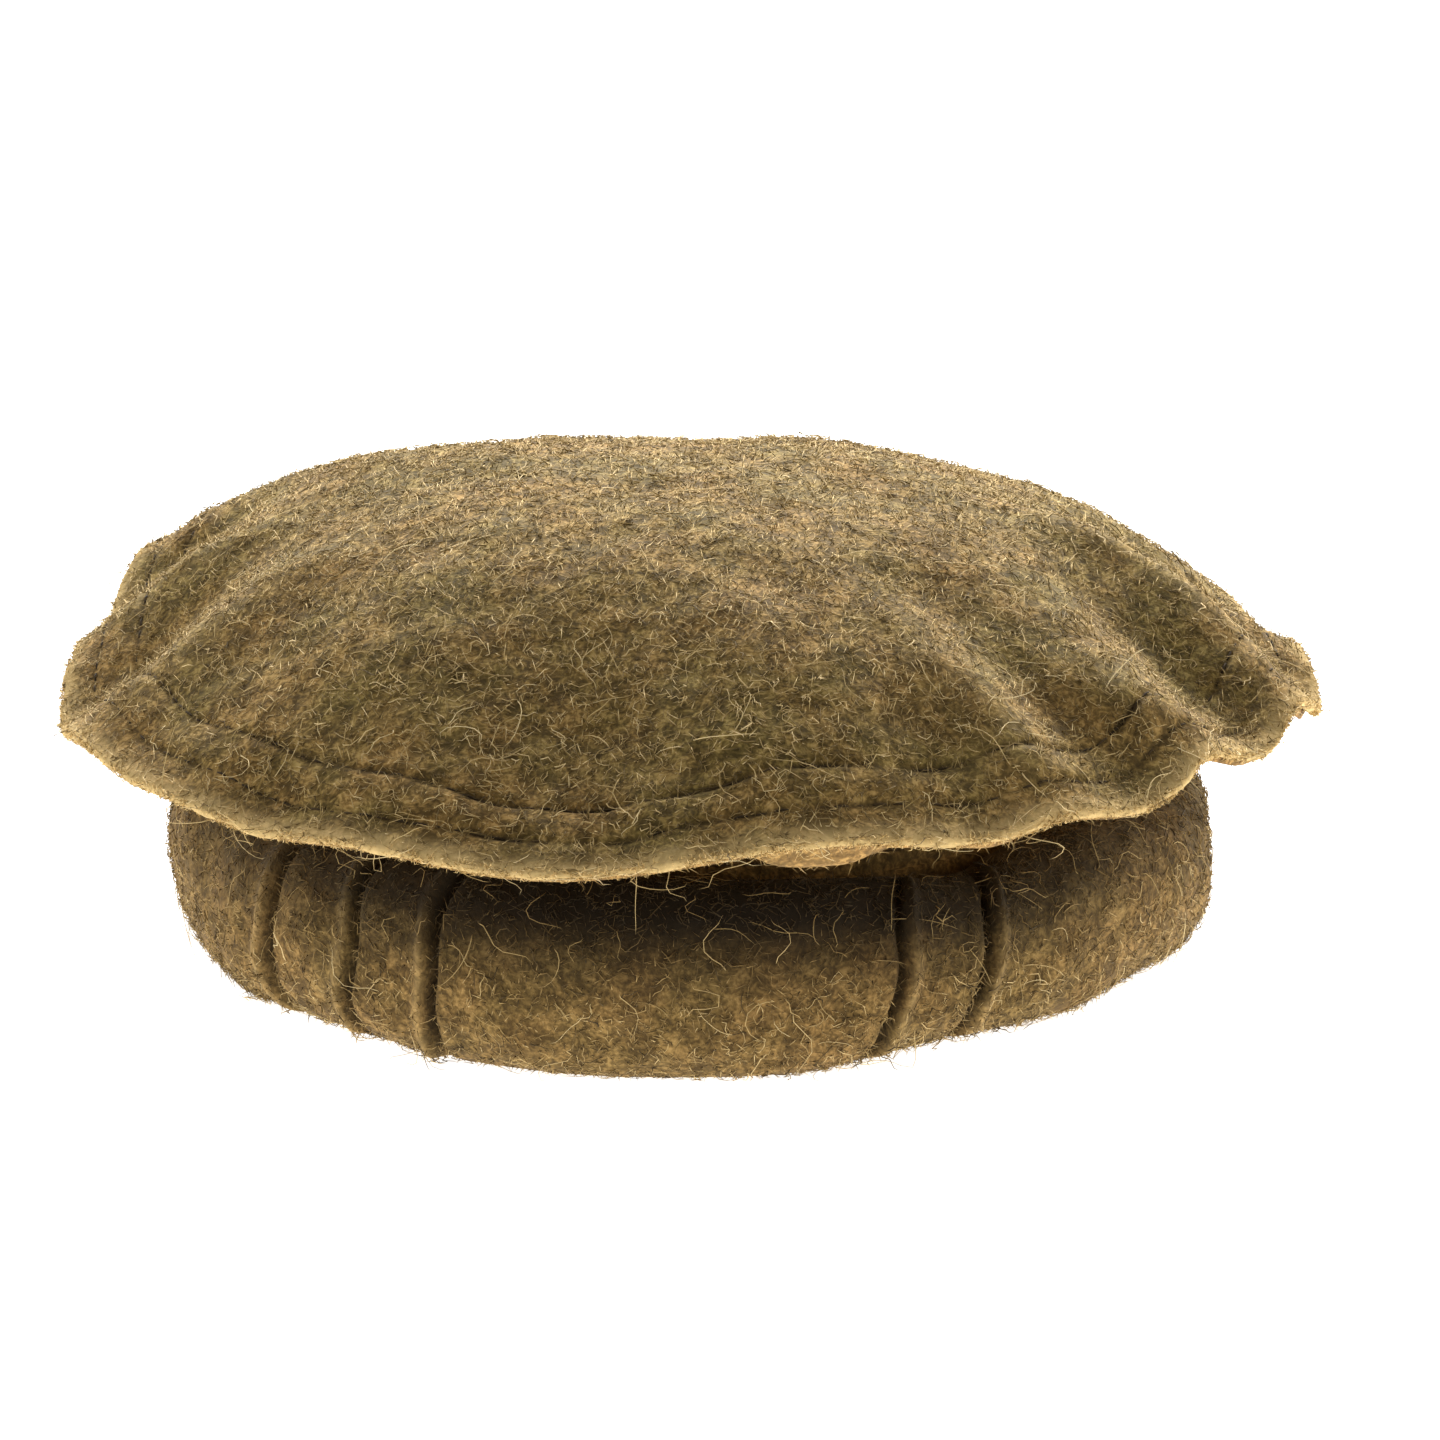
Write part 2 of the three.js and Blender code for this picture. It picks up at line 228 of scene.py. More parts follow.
@dataclass(frozen=True)
class HatForm:
    """The hat's sizes in metres, and the faces that the panels and the band follow."""

    head_radius: float = 90.5 * MM
    roll_depth: float = 33 * MM
    roll_height: float = 46 * MM
    rest_flattening: float = 1 * MM
    section_power: float = 2.12
    wall_thickness: float = 3 * MM
    wall_drop: float = 3 * MM
    groove_depth: float = 4 * MM
    pleat_height: float = 2.2 * MM
    overhang: float = 25 * MM
    rim_lift: float = 15 * MM
    dome_height: float = 48 * MM
    dome_fullness: float = 2.6
    dome_flare: float = 1.22
    top_cloth: float = 2.4 * MM
    under_cloth: float = 2 * MM
    flange_width: float = 18 * MM
    flange_recess: float = 2.5 * MM
    seam_gap: float = 0.35 * MM
    rim_sway: float = 3 * MM
    rim_rise: float = 11 * MM
    fold_height: float = 7 * MM
    swell_height: float = 8 * MM
    gather_drop: float = 6 * MM
    rise_start: float = 0.45
    fold_growth: float = 0.35
    drape_out: float = 0.68
    drape_high: float = 0.62
    drape_low: float = 0.25

    @property
    def roll_radius(self) -> float:
        """The band's outer radius."""
        return self.head_radius + self.roll_depth

    @property
    def crown_radius(self) -> float:
        """The rim's mean radius."""
        return self.roll_radius + self.overhang

    @property
    def rim_height(self) -> float:
        """The rim's mean height over the surface that the hat rests on."""
        return self.roll_height + self.rim_lift

    @property
    def wall_top(self) -> float:
        """The height of the band's inner wall."""
        return self.roll_height - self.wall_drop

    def crown_face(self, azimuth: np.ndarray, share: np.ndarray) -> np.ndarray:
        """The crown's outer face.

        Height = rim + dome (1 - |share|^fullness)^flare + rim waves + folds + swells, and
        radius = share (crown radius + sway share). A negative share lies across the centre.

        Args:
            azimuth: Degrees, any shape.
            share: Share of the crown's radius, broadcast against azimuth.

        Returns:
            Points, with a last axis of 3.
        """
        sway = sum(w.sway * bell_at(azimuth, w.at, w.width) for w in RIM_WAVES)
        rise = sum(w.rise * bell_at(azimuth, w.at, w.width) for w in RIM_WAVES)
        dome = np.maximum(1 - np.abs(share)**self.dome_fullness, 0) ** self.dome_flare
        height = self.rim_height + self.dome_height * dome
        grown = ease((share - self.rise_start) / (1 - self.rise_start))
        height = height + self.rim_rise * rise * grown
        spread = 1 / np.sqrt(np.maximum(share, 0.25))
        fade = 1 - 0.5 * ease((share - 0.8) / 0.2)
        for fold in FOLDS:
            off = wrapped(azimuth - fold.at - fold.lean * (1 - share))
            grown = ease((share - fold.start) / self.fold_growth) * fade
            shape = bell(off / (fold.width * spread))
            height = height + self.fold_height * fold.lift * shape * grown
        radius = share * (self.crown_radius + self.rim_sway * sway * share)
        points = on_axis(azimuth, radius, height)
        for swell in SWELLS:
            centre = on_axis(swell.at, swell.reach * self.crown_radius, 0.0)
            away = np.hypot(points[..., 0] - centre[0], points[..., 1] - centre[1])
            lift = self.swell_height * swell.lift * bell(away / (swell.spread * self.crown_radius))
            points[..., 2] += lift
        return points

    def crown_frame(self, azimuth: np.ndarray, share: np.ndarray) -> tuple[np.ndarray, ...]:
        """The crown face's outward direction and normal, by differences over a small step.

        Args:
            azimuth: Degrees.
            share: Share of the crown's radius.

        Returns:
            (outward unit vectors along the section, unit normals that face up).
        """
        turn, step = 0.4, 0.004
        across = self.crown_face(azimuth + turn, share) - self.crown_face(azimuth - turn, share)
        outward = self.crown_face(azimuth, share + step) - self.crown_face(azimuth, share - step)
        return unit(outward), unit(np.cross(outward, across))

    def crown_depth(self, azimuth: np.ndarray, share: np.ndarray,
                    depth: np.ndarray) -> np.ndarray:
        """Points at a depth under the crown's face, square to it."""
        normal = self.crown_frame(azimuth, share)[1]
        return self.crown_face(azimuth, share) - normal * np.asarray(depth)[..., None]

    def drape_line(self, azimuth: np.ndarray, t: np.ndarray) -> tuple[np.ndarray, ...]:
        """The underside panel's middle line from the flange to the neck, a cubic curve.

        Args:
            azimuth: Degrees, shape (columns, 1).
            t: 0 at the flange's inner edge and 1 at the neck, shape (1, rows).

        Returns:
            (radius, height, radius per t, height per t), each of shape (columns, rows).
        """
        share = 1 - (self.flange_recess + self.flange_width) / self.crown_radius
        depth = self.top_cloth + self.seam_gap + self.under_cloth / 2
        start = self.crown_depth(azimuth, np.full_like(azimuth, share), depth)
        first = np.hypot(start[..., 0], start[..., 1])
        last = self.head_radius + self.wall_thickness / 2
        reach, fall = first - last, start[..., 2] - self.wall_top
        radii = (first, last + self.drape_out * reach, last, last)
        heights = (start[..., 2], self.wall_top + self.drape_high * fall,
                   self.wall_top + self.drape_low * fall, self.wall_top + self.seam_gap)
        weights = ((1 - t) ** 3, 3 * t * (1 - t) ** 2, 3 * t**2 * (1 - t), t**3)
        rates = (-3 * (1 - t) ** 2, 3 * (1 - t) * (1 - 3 * t), 3 * t * (2 - 3 * t), 3 * t**2)
        return tuple(
            sum(w * v for w, v in zip(parts, values))
            for parts, values in ((weights, radii), (weights, heights),
                                  (rates, radii), (rates, heights))
        )

    def band_swell(self, azimuth: np.ndarray) -> tuple[np.ndarray, ...]:
        """How much deeper, taller and raised the band is, as shares of its sizes."""
        near = [bell_at(azimuth, w.at, w.width) for w in BAND_WAVES]
        return tuple(
            sum(getattr(w, name) * n for w, n in zip(BAND_WAVES, near))
            for name in ("deeper", "taller", "raised")
        )

    def roll_section(self, azimuth: np.ndarray, angle: np.ndarray) -> tuple[np.ndarray, ...]:
        """The band's round section, a superellipse that is flat where it rests.

        Args:
            azimuth: Degrees.
            angle: Degrees round the section: 0 is outermost and 90 is on top.

        Returns:
            (radius, height).
        """
        cosine, sine = np.cos(np.radians(angle)), np.sin(np.radians(angle))
        power = self.section_power
        round_out = (np.abs(cosine) ** power + np.abs(sine) ** power) ** (-1 / power)
        deeper, taller, raised = self.band_swell(azimuth)
        depth = self.roll_depth * np.where(cosine > 0, 1 + 2 * deeper, 1)
        radius = self.head_radius + self.roll_depth / 2 + depth / 2 * round_out * cosine
        middle = self.roll_height / 2 * (1 + taller)
        height = middle * (1 + round_out * sine) + raised * self.roll_height
        return radius, height - self.rest_flattening


class Mesh:
    """Makes Blender objects from arrays of points and triangles."""

    @staticmethod
    def piece(name: str, points: np.ndarray, faces: np.ndarray,
              values: dict[str, np.ndarray] | None = None) -> bpy.types.Object:
        """Makes a smooth mesh object at the origin and links it to the scene.

        Args:
            name: The piece's name.
            points: Vertices, shape (n, 3).
            faces: Vertex numbers of each triangle, shape (m, 3).
            values: Numbers at each vertex, by attribute name.

        Returns:
            The new object.
        """
        mesh = bpy.data.meshes.new(name)
        mesh.vertices.add(len(points))
        places = np.ascontiguousarray(points, dtype=np.float32)
        mesh.vertices.foreach_set("co", places.ravel())
        mesh.loops.add(faces.size)
        corners = np.ascontiguousarray(faces, dtype=np.int32)
        mesh.loops.foreach_set("vertex_index", corners.ravel())
        mesh.polygons.add(len(faces))
        mesh.polygons.foreach_set("loop_start", np.arange(0, faces.size, 3, dtype=np.int32))
        mesh.polygons.foreach_set("use_smooth", np.ones(len(faces), dtype=bool))
        mesh.update(calc_edges=True)
        for key, numbers in (values or {}).items():
            layer = mesh.attributes.new(key, "FLOAT", "POINT")
            numbers = np.ascontiguousarray(numbers, dtype=np.float32)
            layer.data.foreach_set("value", numbers.ravel())
        piece = bpy.data.objects.new(name, mesh)
        bpy.context.scene.collection.objects.link(piece)
        return piece

    @staticmethod
    def ring_faces(columns: int, rows: int, closed_rows: bool) -> np.ndarray:
        """Triangles of a grid whose columns run round the axis and close on themselves.

        Args:
            columns: Sections round the axis.
            rows: Points of a section.
            closed_rows: True if each section closes on itself too. Otherwise vertices
                columns * rows and columns * rows + 1 cap its first and last rows.

        Returns:
            Vertex numbers, shape (m, 3).
        """
        here = np.arange(columns)[:, None] * rows
        after = (np.arange(columns)[:, None] + 1) % columns * rows
        row = np.arange(rows if closed_rows else rows - 1)[None, :]
        below = (row + 1) % rows
        first = np.stack([here + row, here + below, after + below], axis=-1)
        second = np.stack([here + row, after + below, after + row], axis=-1)
        faces = [first.reshape(-1, 3), second.reshape(-1, 3)]
        if not closed_rows:
            here, after = here[:, 0], after[:, 0]
            pole = np.full(columns, columns * rows)
            faces.append(np.stack([pole, here, after], axis=-1))
            faces.append(np.stack([pole + 1, after + rows - 1, here + rows - 1], axis=-1))
        return np.concatenate(faces)

    @staticmethod
    def tubes(paths: np.ndarray, radii: np.ndarray, up: np.ndarray, sides: int,
              pointed: bool) -> tuple[np.ndarray, np.ndarray, np.ndarray]:
        """A closed tube along each path: a ring of sides about each point, then an end.

        A ring is centre + radius (cos w a + sin w b), where a and b are square to the path.

        Args:
            paths: Points along each tube, shape (tubes, stations, 3).
            radii: Radius at each station, shape (tubes, stations).
            up: A direction across each tube, shape (tubes, 3).
            sides: Corners of a ring.
            pointed: True if the last station is a single tip.

        Returns:
            (vertices, triangles, tube number of each vertex).
        """
        count, stations = paths.shape[:2]
        along = unit(np.gradient(paths, axis=1))
        first = unit(np.cross(along, up[:, None, :]))
        second = np.cross(along, first)
        turn = np.arange(sides) * (2 * np.pi / sides)
        offset = (np.cos(turn)[:, None] * first[:, :, None]
                  + np.sin(turn)[:, None] * second[:, :, None])
        rings = paths[:, :, None] + radii[:, :, None, None] * offset
        whole = stations - 1 if pointed else stations
        corner, after = np.arange(sides), (np.arange(sides) + 1) % sides
        start = (np.arange(whole - 1) * sides)[:, None]
        far = start + sides
        faces = [
            np.stack([start + corner, start + after, far + after], -1).reshape(-1, 3),
            np.stack([start + corner, far + after, far + corner], -1).reshape(-1, 3),
        ]
        fan = np.arange(1, sides - 1)
        faces.append(np.stack([np.zeros_like(fan), fan + 1, fan], -1))
        last = (whole - 1) * sides
        points = rings[:, :whole].reshape(count, -1, 3)
        if pointed:
            tip = np.full(sides, whole * sides)
            faces.append(np.stack([last + corner, last + after, tip], -1))
            points = np.concatenate([points, paths[:, -1:]], axis=1)
        else:
            faces.append(np.stack([np.full(sides - 2, last), last + fan, last + fan + 1], -1))
        each = points.shape[1]
        triangles = np.concatenate(faces)[None] + (np.arange(count) * each)[:, None, None]
        return points.reshape(-1, 3), triangles.reshape(-1, 3), np.repeat(np.arange(count), each)


def srgb(red: int, green: int, blue: int) -> tuple[float, float, float, float]:
    """A colour given as screen values of 0 to 255, as the linear numbers a shader takes."""
    screen = np.array([red, green, blue]) / 255
    linear = np.where(screen <= 0.04045, screen / 12.92, ((screen + 0.055) / 1.055) ** 2.4)
    return (float(linear[0]), float(linear[1]), float(linear[2]), 1.0)


def tones(*colours: tuple[int, int, int]) -> tuple[tuple[float, ...], ...]:
    """Several colours given as screen values, dark to pale."""
    return tuple(srgb(*colour) for colour in colours)


class Graph:
    """Adds nodes to a node tree and joins them."""

    def __init__(self, tree: bpy.types.NodeTree) -> None:
        """Keeps the tree and clears it."""
        self.tree = tree
        tree.nodes.clear()

    def add(self, kind: str, inputs: dict[str | int, object] | None = None,
            **settings: object) -> bpy.types.Node:
        """Adds a node.

        Args:
            kind: The node's type name.
            inputs: What each input socket takes: another node's output, or a value.
            **settings: The node's own settings.

        Returns:
            The new node.
        """
        node = self.tree.nodes.new(kind)
        for key, value in settings.items():
            setattr(node, key, value)
        for key, value in (inputs or {}).items():
            self.feed(node.inputs[key], value)
        return node

    def feed(self, socket: bpy.types.NodeSocket, value: object) -> None:
        """Joins an output to an input socket, or sets the socket to a plain value."""
        if isinstance(value, bpy.types.NodeSocket):
            self.tree.links.new(value, socket)
        else:
            socket.default_value = value

    def maths(self, operation: str, *values: object) -> bpy.types.NodeSocket:
        """Adds a Math node and returns its output."""
        node = self.add("ShaderNodeMath", dict(enumerate(values)), operation=operation)
        return node.outputs[0]

    def weighed(self, *parts: tuple[object, float]) -> bpy.types.NodeSocket:
        """The sum of some values, each times its own weight."""
        total, *others = [self.maths("MULTIPLY", value, weight) for value, weight in parts]
        for other in others:
            total = self.maths("ADD", total, other)
        return total

    def ranged(self, value: object, low: float, high: float, first: float = 0.0,
               last: float = 1.0) -> bpy.types.NodeSocket:
        """Maps a value from low..high to first..last, smoothly and held at both ends."""
        inputs = {"Value": value, "From Min": low, "From Max": high,
                  "To Min": first, "To Max": last}
        node = self.add("ShaderNodeMapRange", inputs, interpolation_type="SMOOTHSTEP")
        return node.outputs["Result"]

    def noise(self, vector: object, scale: object, detail: float = 2.0, roughness: float = 0.5,
              kind: str = "FBM", offset: float = 0.0) -> bpy.types.NodeSocket:
        """Adds a Noise Texture and returns its value. Four dimensions carry the offset."""
        inputs = {"Vector": vector, "W": offset, "Scale": scale, "Detail": detail,
                  "Roughness": roughness}
        node = self.add("ShaderNodeTexNoise", inputs, noise_dimensions="4D", noise_type=kind)
        return node.outputs[0]

    def mix(self, share: object, first: object, second: object,
            blend: str = "MIX") -> bpy.types.NodeSocket:
        """Mixes two colours and returns the result."""
        node = self.add("ShaderNodeMix", data_type="RGBA", blend_type=blend)
        for socket, value in zip((0, 6, 7), (share, first, second)):
            self.feed(node.inputs[socket], value)
        return node.outputs[2]

    def to_camera(self, strength: object) -> bpy.types.NodeSocket:
        """A strength that is 1 for the camera's own rays and as given for all the others."""
        seen = self.add("ShaderNodeLightPath").outputs["Is Camera Ray"]
        inputs = {0: seen, 2: strength, 3: 1.0}
        return self.add("ShaderNodeMix", inputs, data_type="FLOAT").outputs[0]

    def ramp(self, value: object,
             stops: Sequence[tuple[float, tuple[float, ...]]]) -> bpy.types.NodeSocket:
        """Adds a colour ramp through the stops and returns its colour."""
        node = self.add("ShaderNodeValToRGB", {"Fac": value})
        elements = node.color_ramp.elements
        while len(elements) < len(stops):
            elements.new(0.5)
        for element, (position, colour) in zip(elements, stops):
            element.position = position
            element.color = colour
        return node.outputs["Color"]


class Effect(Enum):
    """The shared effects, as names of their node groups."""

    MOTTLE = "felt mottle"
    RELIEF = "felt relief"


class Effects:
    """Builds each shared effect once, as a node group with named inputs and outputs."""

    @classmethod
    def group(cls, effect: Effect) -> bpy.types.NodeTree:
        """The effect's node group, built the first time it is asked for."""
        build = {Effect.MOTTLE: cls._mottle, Effect.RELIEF: cls._relief}[effect]
        return bpy.data.node_groups.get(effect.value) or build()

    @staticmethod
    def _start(effect: Effect, inputs: dict[str, float],
               outputs: Sequence[str]) -> tuple[Graph, bpy.types.Node]:
        """Makes the group with its sockets, and its input node."""
        tree = bpy.data.node_groups.new(effect.value, "ShaderNodeTree")
        tree.interface.new_socket("Vector", in_out="INPUT", socket_type="NodeSocketVector")
        for name, value in inputs.items():
            socket = tree.interface.new_socket(name, in_out="INPUT", socket_type="NodeSocketFloat")
            socket.default_value = value
        for name in outputs:
            tree.interface.new_socket(name, in_out="OUTPUT", socket_type="NodeSocketFloat")
        graph = Graph(tree)
        return graph, graph.add("NodeGroupInput")

    @classmethod
    def _mottle(cls) -> bpy.types.NodeTree:
        """Heathered felt: fine flecks, soft clumps, thread-like lines and broad patches.

        Fleck Size and Patch Size are lengths in metres. Tone and Patch run from 0 to 1.
        """
        inputs = {"Fleck Size": 1 * MM, "Patch Size": 40 * MM}
        graph, given = cls._start(Effect.MOTTLE, inputs, ("Tone", "Patch"))
        fine = graph.maths("DIVIDE", 1.0, given.outputs["Fleck Size"])
        broad = graph.maths("DIVIDE", 1.0, given.outputs["Patch Size"])
        place = given.outputs["Vector"]
        slow, wide, long = (graph.maths("MULTIPLY", fine, scale) for scale in (0.16, 0.28, 0.22))
        swirl = graph.add("ShaderNodeTexNoise", {"Vector": place, "Scale": slow},
                          noise_dimensions="3D").outputs["Color"]
        shift = graph.add("ShaderNodeVectorMath", {0: swirl, 1: (0.5, 0.5, 0.5)},
                          operation="SUBTRACT").outputs[0]
        reach = graph.maths("MULTIPLY", given.outputs["Fleck Size"], 5.0)
        bend = graph.add("ShaderNodeVectorMath", {0: shift, "Scale": reach},
                         operation="SCALE").outputs[0]
        bent = graph.add("ShaderNodeVectorMath", {0: place, 1: bend}, operation="ADD").outputs[0]
        flecks = graph.ranged(graph.noise(bent, fine, 2.0, 0.6), 0.3, 0.7)
        clumps = graph.ranged(graph.noise(bent, wide, 3.0, 0.6, offset=3.0), 0.3, 0.7)
        lines = graph.noise(bent, long, 3.0, 0.55, "RIDGED_MULTIFRACTAL", 7.0)
        lines = graph.ranged(lines, 0.55, 1.35)
        tone = graph.weighed((flecks, 0.34), (clumps, 0.36), (lines, 0.3))
        patch = graph.ranged(graph.noise(place, broad, 3.0, 0.62, offset=11.0), 0.36, 0.64)
        graph.add("NodeGroupOutput", {"Tone": tone, "Patch": patch})
        return graph.tree

    @classmethod
    def _relief(cls) -> bpy.types.NodeTree:
        """The felt's small lumps and laid fibres, as a height of 0 to 1."""
        graph, given = cls._start(Effect.RELIEF, {"Fibre Size": 0.8 * MM}, ("Height",))
        fine = graph.maths("DIVIDE", 1.0, given.outputs["Fibre Size"])
        place = given.outputs["Vector"]
        lumps = graph.noise(place, graph.maths("MULTIPLY", fine, 0.35), 4.0, 0.65)
        fibres = graph.noise(place, fine, 2.0, 0.6, "RIDGED_MULTIFRACTAL", 5.0)
        height = graph.weighed((lumps, 0.65), (fibres, 0.2))
        graph.add("NodeGroupOutput", {"Height": height})
        return graph.tree


def new_material(name: str) -> tuple[bpy.types.Material, Graph]:
    """An empty material and the graph that fills it."""
    material = bpy.data.materials.new(name)
    material.use_nodes = True
    return material, Graph(material.node_tree)


@dataclass(frozen=True)
class WoolFinish:
    """Felted wool: five tones from the pits to the raised fibres, and a paler edge colour for wear
    and painted highlights.

    Attributes:
        slot: The record's material slot.
        tones: The tones, dark to pale.
        tint: The colour that half of the broad patches lean to.
        warm: The colour that the other patches lean to.
        painted_shade: The colour of painted shade in creases, stitched grooves and on the band's
            top under the crown.
        edge: The colour of wear and brushing on edges, also used for painted highlights on crests
            and ridges.
        fleck: Size of the flecks in metres.
        patch: Size of the patches in metres.
    """

    slot: str
    tones: tuple[tuple[float, ...], ...]
    tint: tuple[float, ...]
    warm: tuple[float, ...]
    edge: tuple[float, ...]
    painted_shade: tuple[float, ...]
    fleck: float = 1.1 * MM
    patch: float = 26 * MM

    def material(self) -> bpy.types.Material:
        """Builds the material. It reads the attributes worn (wear and painted highlights) and
        crease (painted shade) of its piece.
        """
        material, graph = new_material(f"{self.slot} finish")
        place = graph.add("ShaderNodeTexCoord").outputs["Object"]
        mottle = graph.add("ShaderNodeGroup", node_tree=Effects.group(Effect.MOTTLE))
        inputs = {"Vector": place, "Fleck Size": self.fleck, "Patch Size": self.patch}
        for name, value in inputs.items():
            graph.feed(mottle.inputs[name], value)
        colour = graph.ramp(mottle.outputs["Tone"], list(zip(TONE_STOPS, self.tones)))
        leaning = graph.mix(mottle.outputs["Patch"], self.warm, self.tint)
        colour = graph.mix(0.6, colour, leaning, "MULTIPLY")
        # Mixes towards the edge colour by an attribute: pale rim wear, and painted highlights on
        # crests, pleat ridges and the underside.
        wear_and_highlight = graph.add("ShaderNodeAttribute", attribute_name="wear_and_highlight").outputs["Fac"]
        paler = graph.mix(mottle.outputs["Tone"], self.tones[3], self.edge)
        colour = graph.mix(graph.maths("MULTIPLY", wear_and_highlight, 0.9), colour, paler)
        # Painted shade: mixes towards the pit colour by the crease attribute, in furrows, stitched
        # grooves, pleat creases and on the band's top under the crown.
        crease = graph.add("ShaderNodeAttribute", attribute_name="crease").outputs["Fac"]
        colour = graph.mix(crease, colour, self.painted_shade)
        relief = graph.add("ShaderNodeGroup", node_tree=Effects.group(Effect.RELIEF))
        graph.feed(relief.inputs["Vector"], place)
        bump = graph.add("ShaderNodeBump", {"Strength": 0.7, "Distance": 0.9 * MM,
                                            "Height": relief.outputs["Height"]})
        shader = graph.add("ShaderNodeBsdfPrincipled", {
            "Base Color": colour, "Roughness": 0.95, "Specular IOR Level": 0.1,
            "Sheen Weight": 0.06, "Sheen Roughness": 0.5, "Sheen Tint": SHEEN_TINT,
            "Normal": bump.outputs["Normal"]})
        graph.add("ShaderNodeOutputMaterial", {"Surface": shader.outputs["BSDF"]})
        return material


@dataclass(frozen=True)
class FibreFinish:
    """Single wool fibres, each with its own tone from the attribute tint, which also carries
    painted shade.
    """

    slot: str
    name: str
    tones: tuple[tuple[float, ...], ...]

    def material(self) -> bpy.types.Material:
        """Builds the material: a ramp over the fibre's own tone."""
        material, graph = new_material(f"{self.name} finish")
        tint = graph.add("ShaderNodeAttribute", attribute_name="tint").outputs["Fac"]
        steps = np.linspace(0, 1, len(self.tones))
        colour = graph.ramp(tint, [(float(step), tone) for step, tone in zip(steps, self.tones)])
        shader = graph.add("ShaderNodeBsdfPrincipled", {
            "Base Color": colour, "Roughness": 0.8, "Specular IOR Level": 0.15,
            "Sheen Weight": 0.05, "Sheen Tint": SHEEN_TINT})
        graph.add("ShaderNodeOutputMaterial", {"Surface": shader.outputs["BSDF"]})
        return material


def dress(piece: bpy.types.Object, material: bpy.types.Material, slot: str,
          *nodes: str) -> None:
    """Gives a piece its material and body, and hides the nodes that it stands for."""
    piece.data.materials.append(material)
    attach(piece, "root")
    if nodes:
        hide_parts(*nodes)
    log.info("%s: %d triangles", piece.name, len(piece.data.polygons))


@dataclass
class CrownTop:
    """The domed top panel, with two stitched channels round its rim.

    Attributes:
        form: The hat's sizes.
        axis: The hat's axis in the part's frame.
        rows: How far each row of stitches lies in from the rim.
        row_wander: How far a row strays from there.
        row_width: Half the width of a stitched groove.
        row_depth: Its greatest depth.
        row_shade: Half the width of the dark line in it.
        puff: How far the cloth between the rows stands up.
        crease_height: Height of a crease with a lift of 1.
        sway_height: Height of the slow unevenness.
        ripple_height: Height of the quick unevenness.
        lip_swell: How much the cloth thickens just inside the rim.
        lip_at: Where it does so, in from the rim.
        lip_width: Half the width of that swelling.
        worn_width: How far in from the rim the cloth is pale from wear.
        columns: Sections round the axis.
    """

    form: HatForm
    axis: np.ndarray
    rows: tuple[float, float] = (18 * MM, 9 * MM)
    row_wander: float = 0.6 * MM
    row_width: float = 1.0 * MM
    row_depth: float = 1.1 * MM
    # row_shade: Half the width of the painted shade line in it.
    row_shade: float = 0.6 * MM
    puff: float = 0.5 * MM
    crease_height: float = 2.4 * MM
    sway_height: float = 0.45 * MM
    ripple_height: float = 0.28 * MM
    lip_swell: float = 0.2 * MM
    lip_at: float = 3.2 * MM
    lip_width: float = 2.2 * MM
    worn_width: float = 3.6 * MM
    columns: int = 330
    sway: Ripples = field(default_factory=lambda: Ripples(11, 46 * MM))
    ripple: Ripples = field(default_factory=lambda: Ripples(12, 17 * MM))
    drawn: Ripples = field(default_factory=lambda: Ripples(13, 9 * MM))

    def row_inset(self, azimuth: np.ndarray, row: int) -> np.ndarray:
        """How far a row lies in from the rim: its mean and a slow wander."""
        wander = self.sway.at(on_axis(azimuth, self.form.crown_radius, row * 40 * MM))
        return self.rows[row] + self.row_wander * wander

    def tightness(self, azimuth: np.ndarray, row: int) -> np.ndarray:
        """How tightly a row is drawn, from 0.12 to 1, changing round the rim.

        It is least at the sides, where the fuzz hides the rows, and on the outer row.
        """
        place = on_axis(azimuth, self.form.crown_radius, row * 90 * MM)
        uneven = 0.5 + 0.38 * self.ripple.at(place) + 0.2 * self.drawn.at(place)
        sideways = np.abs(np.sin(np.radians(azimuth))) ** 3
        shown = (1.1 - 0.35 * row) * (1 - 0.6 * sideways)
        return np.clip(0.12 + shown * uneven, 0.12, 1)

    def creases(self, azimuth: np.ndarray, share: np.ndarray) -> np.ndarray:
        """Sum of the creases, each lift exp(-|off|^1.5): sharper than the folds they sit on.

        Args:
            azimuth: Degrees.
            share: Share of the crown's radius.

        Returns:
            Values of about -1 in a furrow to 1 on a ridge.
        """
        total = np.zeros(np.broadcast_shapes(np.shape(azimuth), np.shape(share)))
        for crease in CREASES:
            off = wrapped(azimuth - crease.at - crease.lean * (1 - share)) / crease.width
            grown = ease((share - crease.start) / 0.2)
            grown = grown * (1 - 0.7 * ease((share - 0.85) / 0.15))
            total = total + crease.lift * np.exp(-np.abs(off) ** 1.5) * grown
        return total

    def relief(self, azimuth: np.ndarray, share: np.ndarray, points: np.ndarray) -> np.ndarray:
        """Height over the plain face: creases, stitched grooves, the puff between, and ripples.

        Args:
            azimuth: Degrees.
            share: Share of the crown's radius.
            points: The plain face there.

        Returns:
            Heights in metres.
        """
        inset = (1 - share) * self.form.crown_radius
        height = self.sway_height * self.sway.at(points) * ease((1 - share) / 0.1)
        height = height + self.ripple_height * self.ripple.at(points)
        height = height + self.crease_height * self.creases(azimuth, share)
        for row in range(2):
            off = (inset - self.row_inset(azimuth, row)) / self.row_width
            height = height - self.row_depth * self.tightness(azimuth, row) * bell(off)
        outer, inner = self.row_inset(azimuth, 1), self.row_inset(azimuth, 0)
        between = np.clip((inset - outer) / (inner - outer), 0, 1)
        lift = np.sin(np.pi * between) ** 0.8
        drawn = self.drawn.at(points)
        height = height + self.puff * lift * (1 + 0.35 * drawn)
        lip = bell((inset - self.lip_at) / self.lip_width)
        return height + self.lip_swell * lip * (1 + drawn)

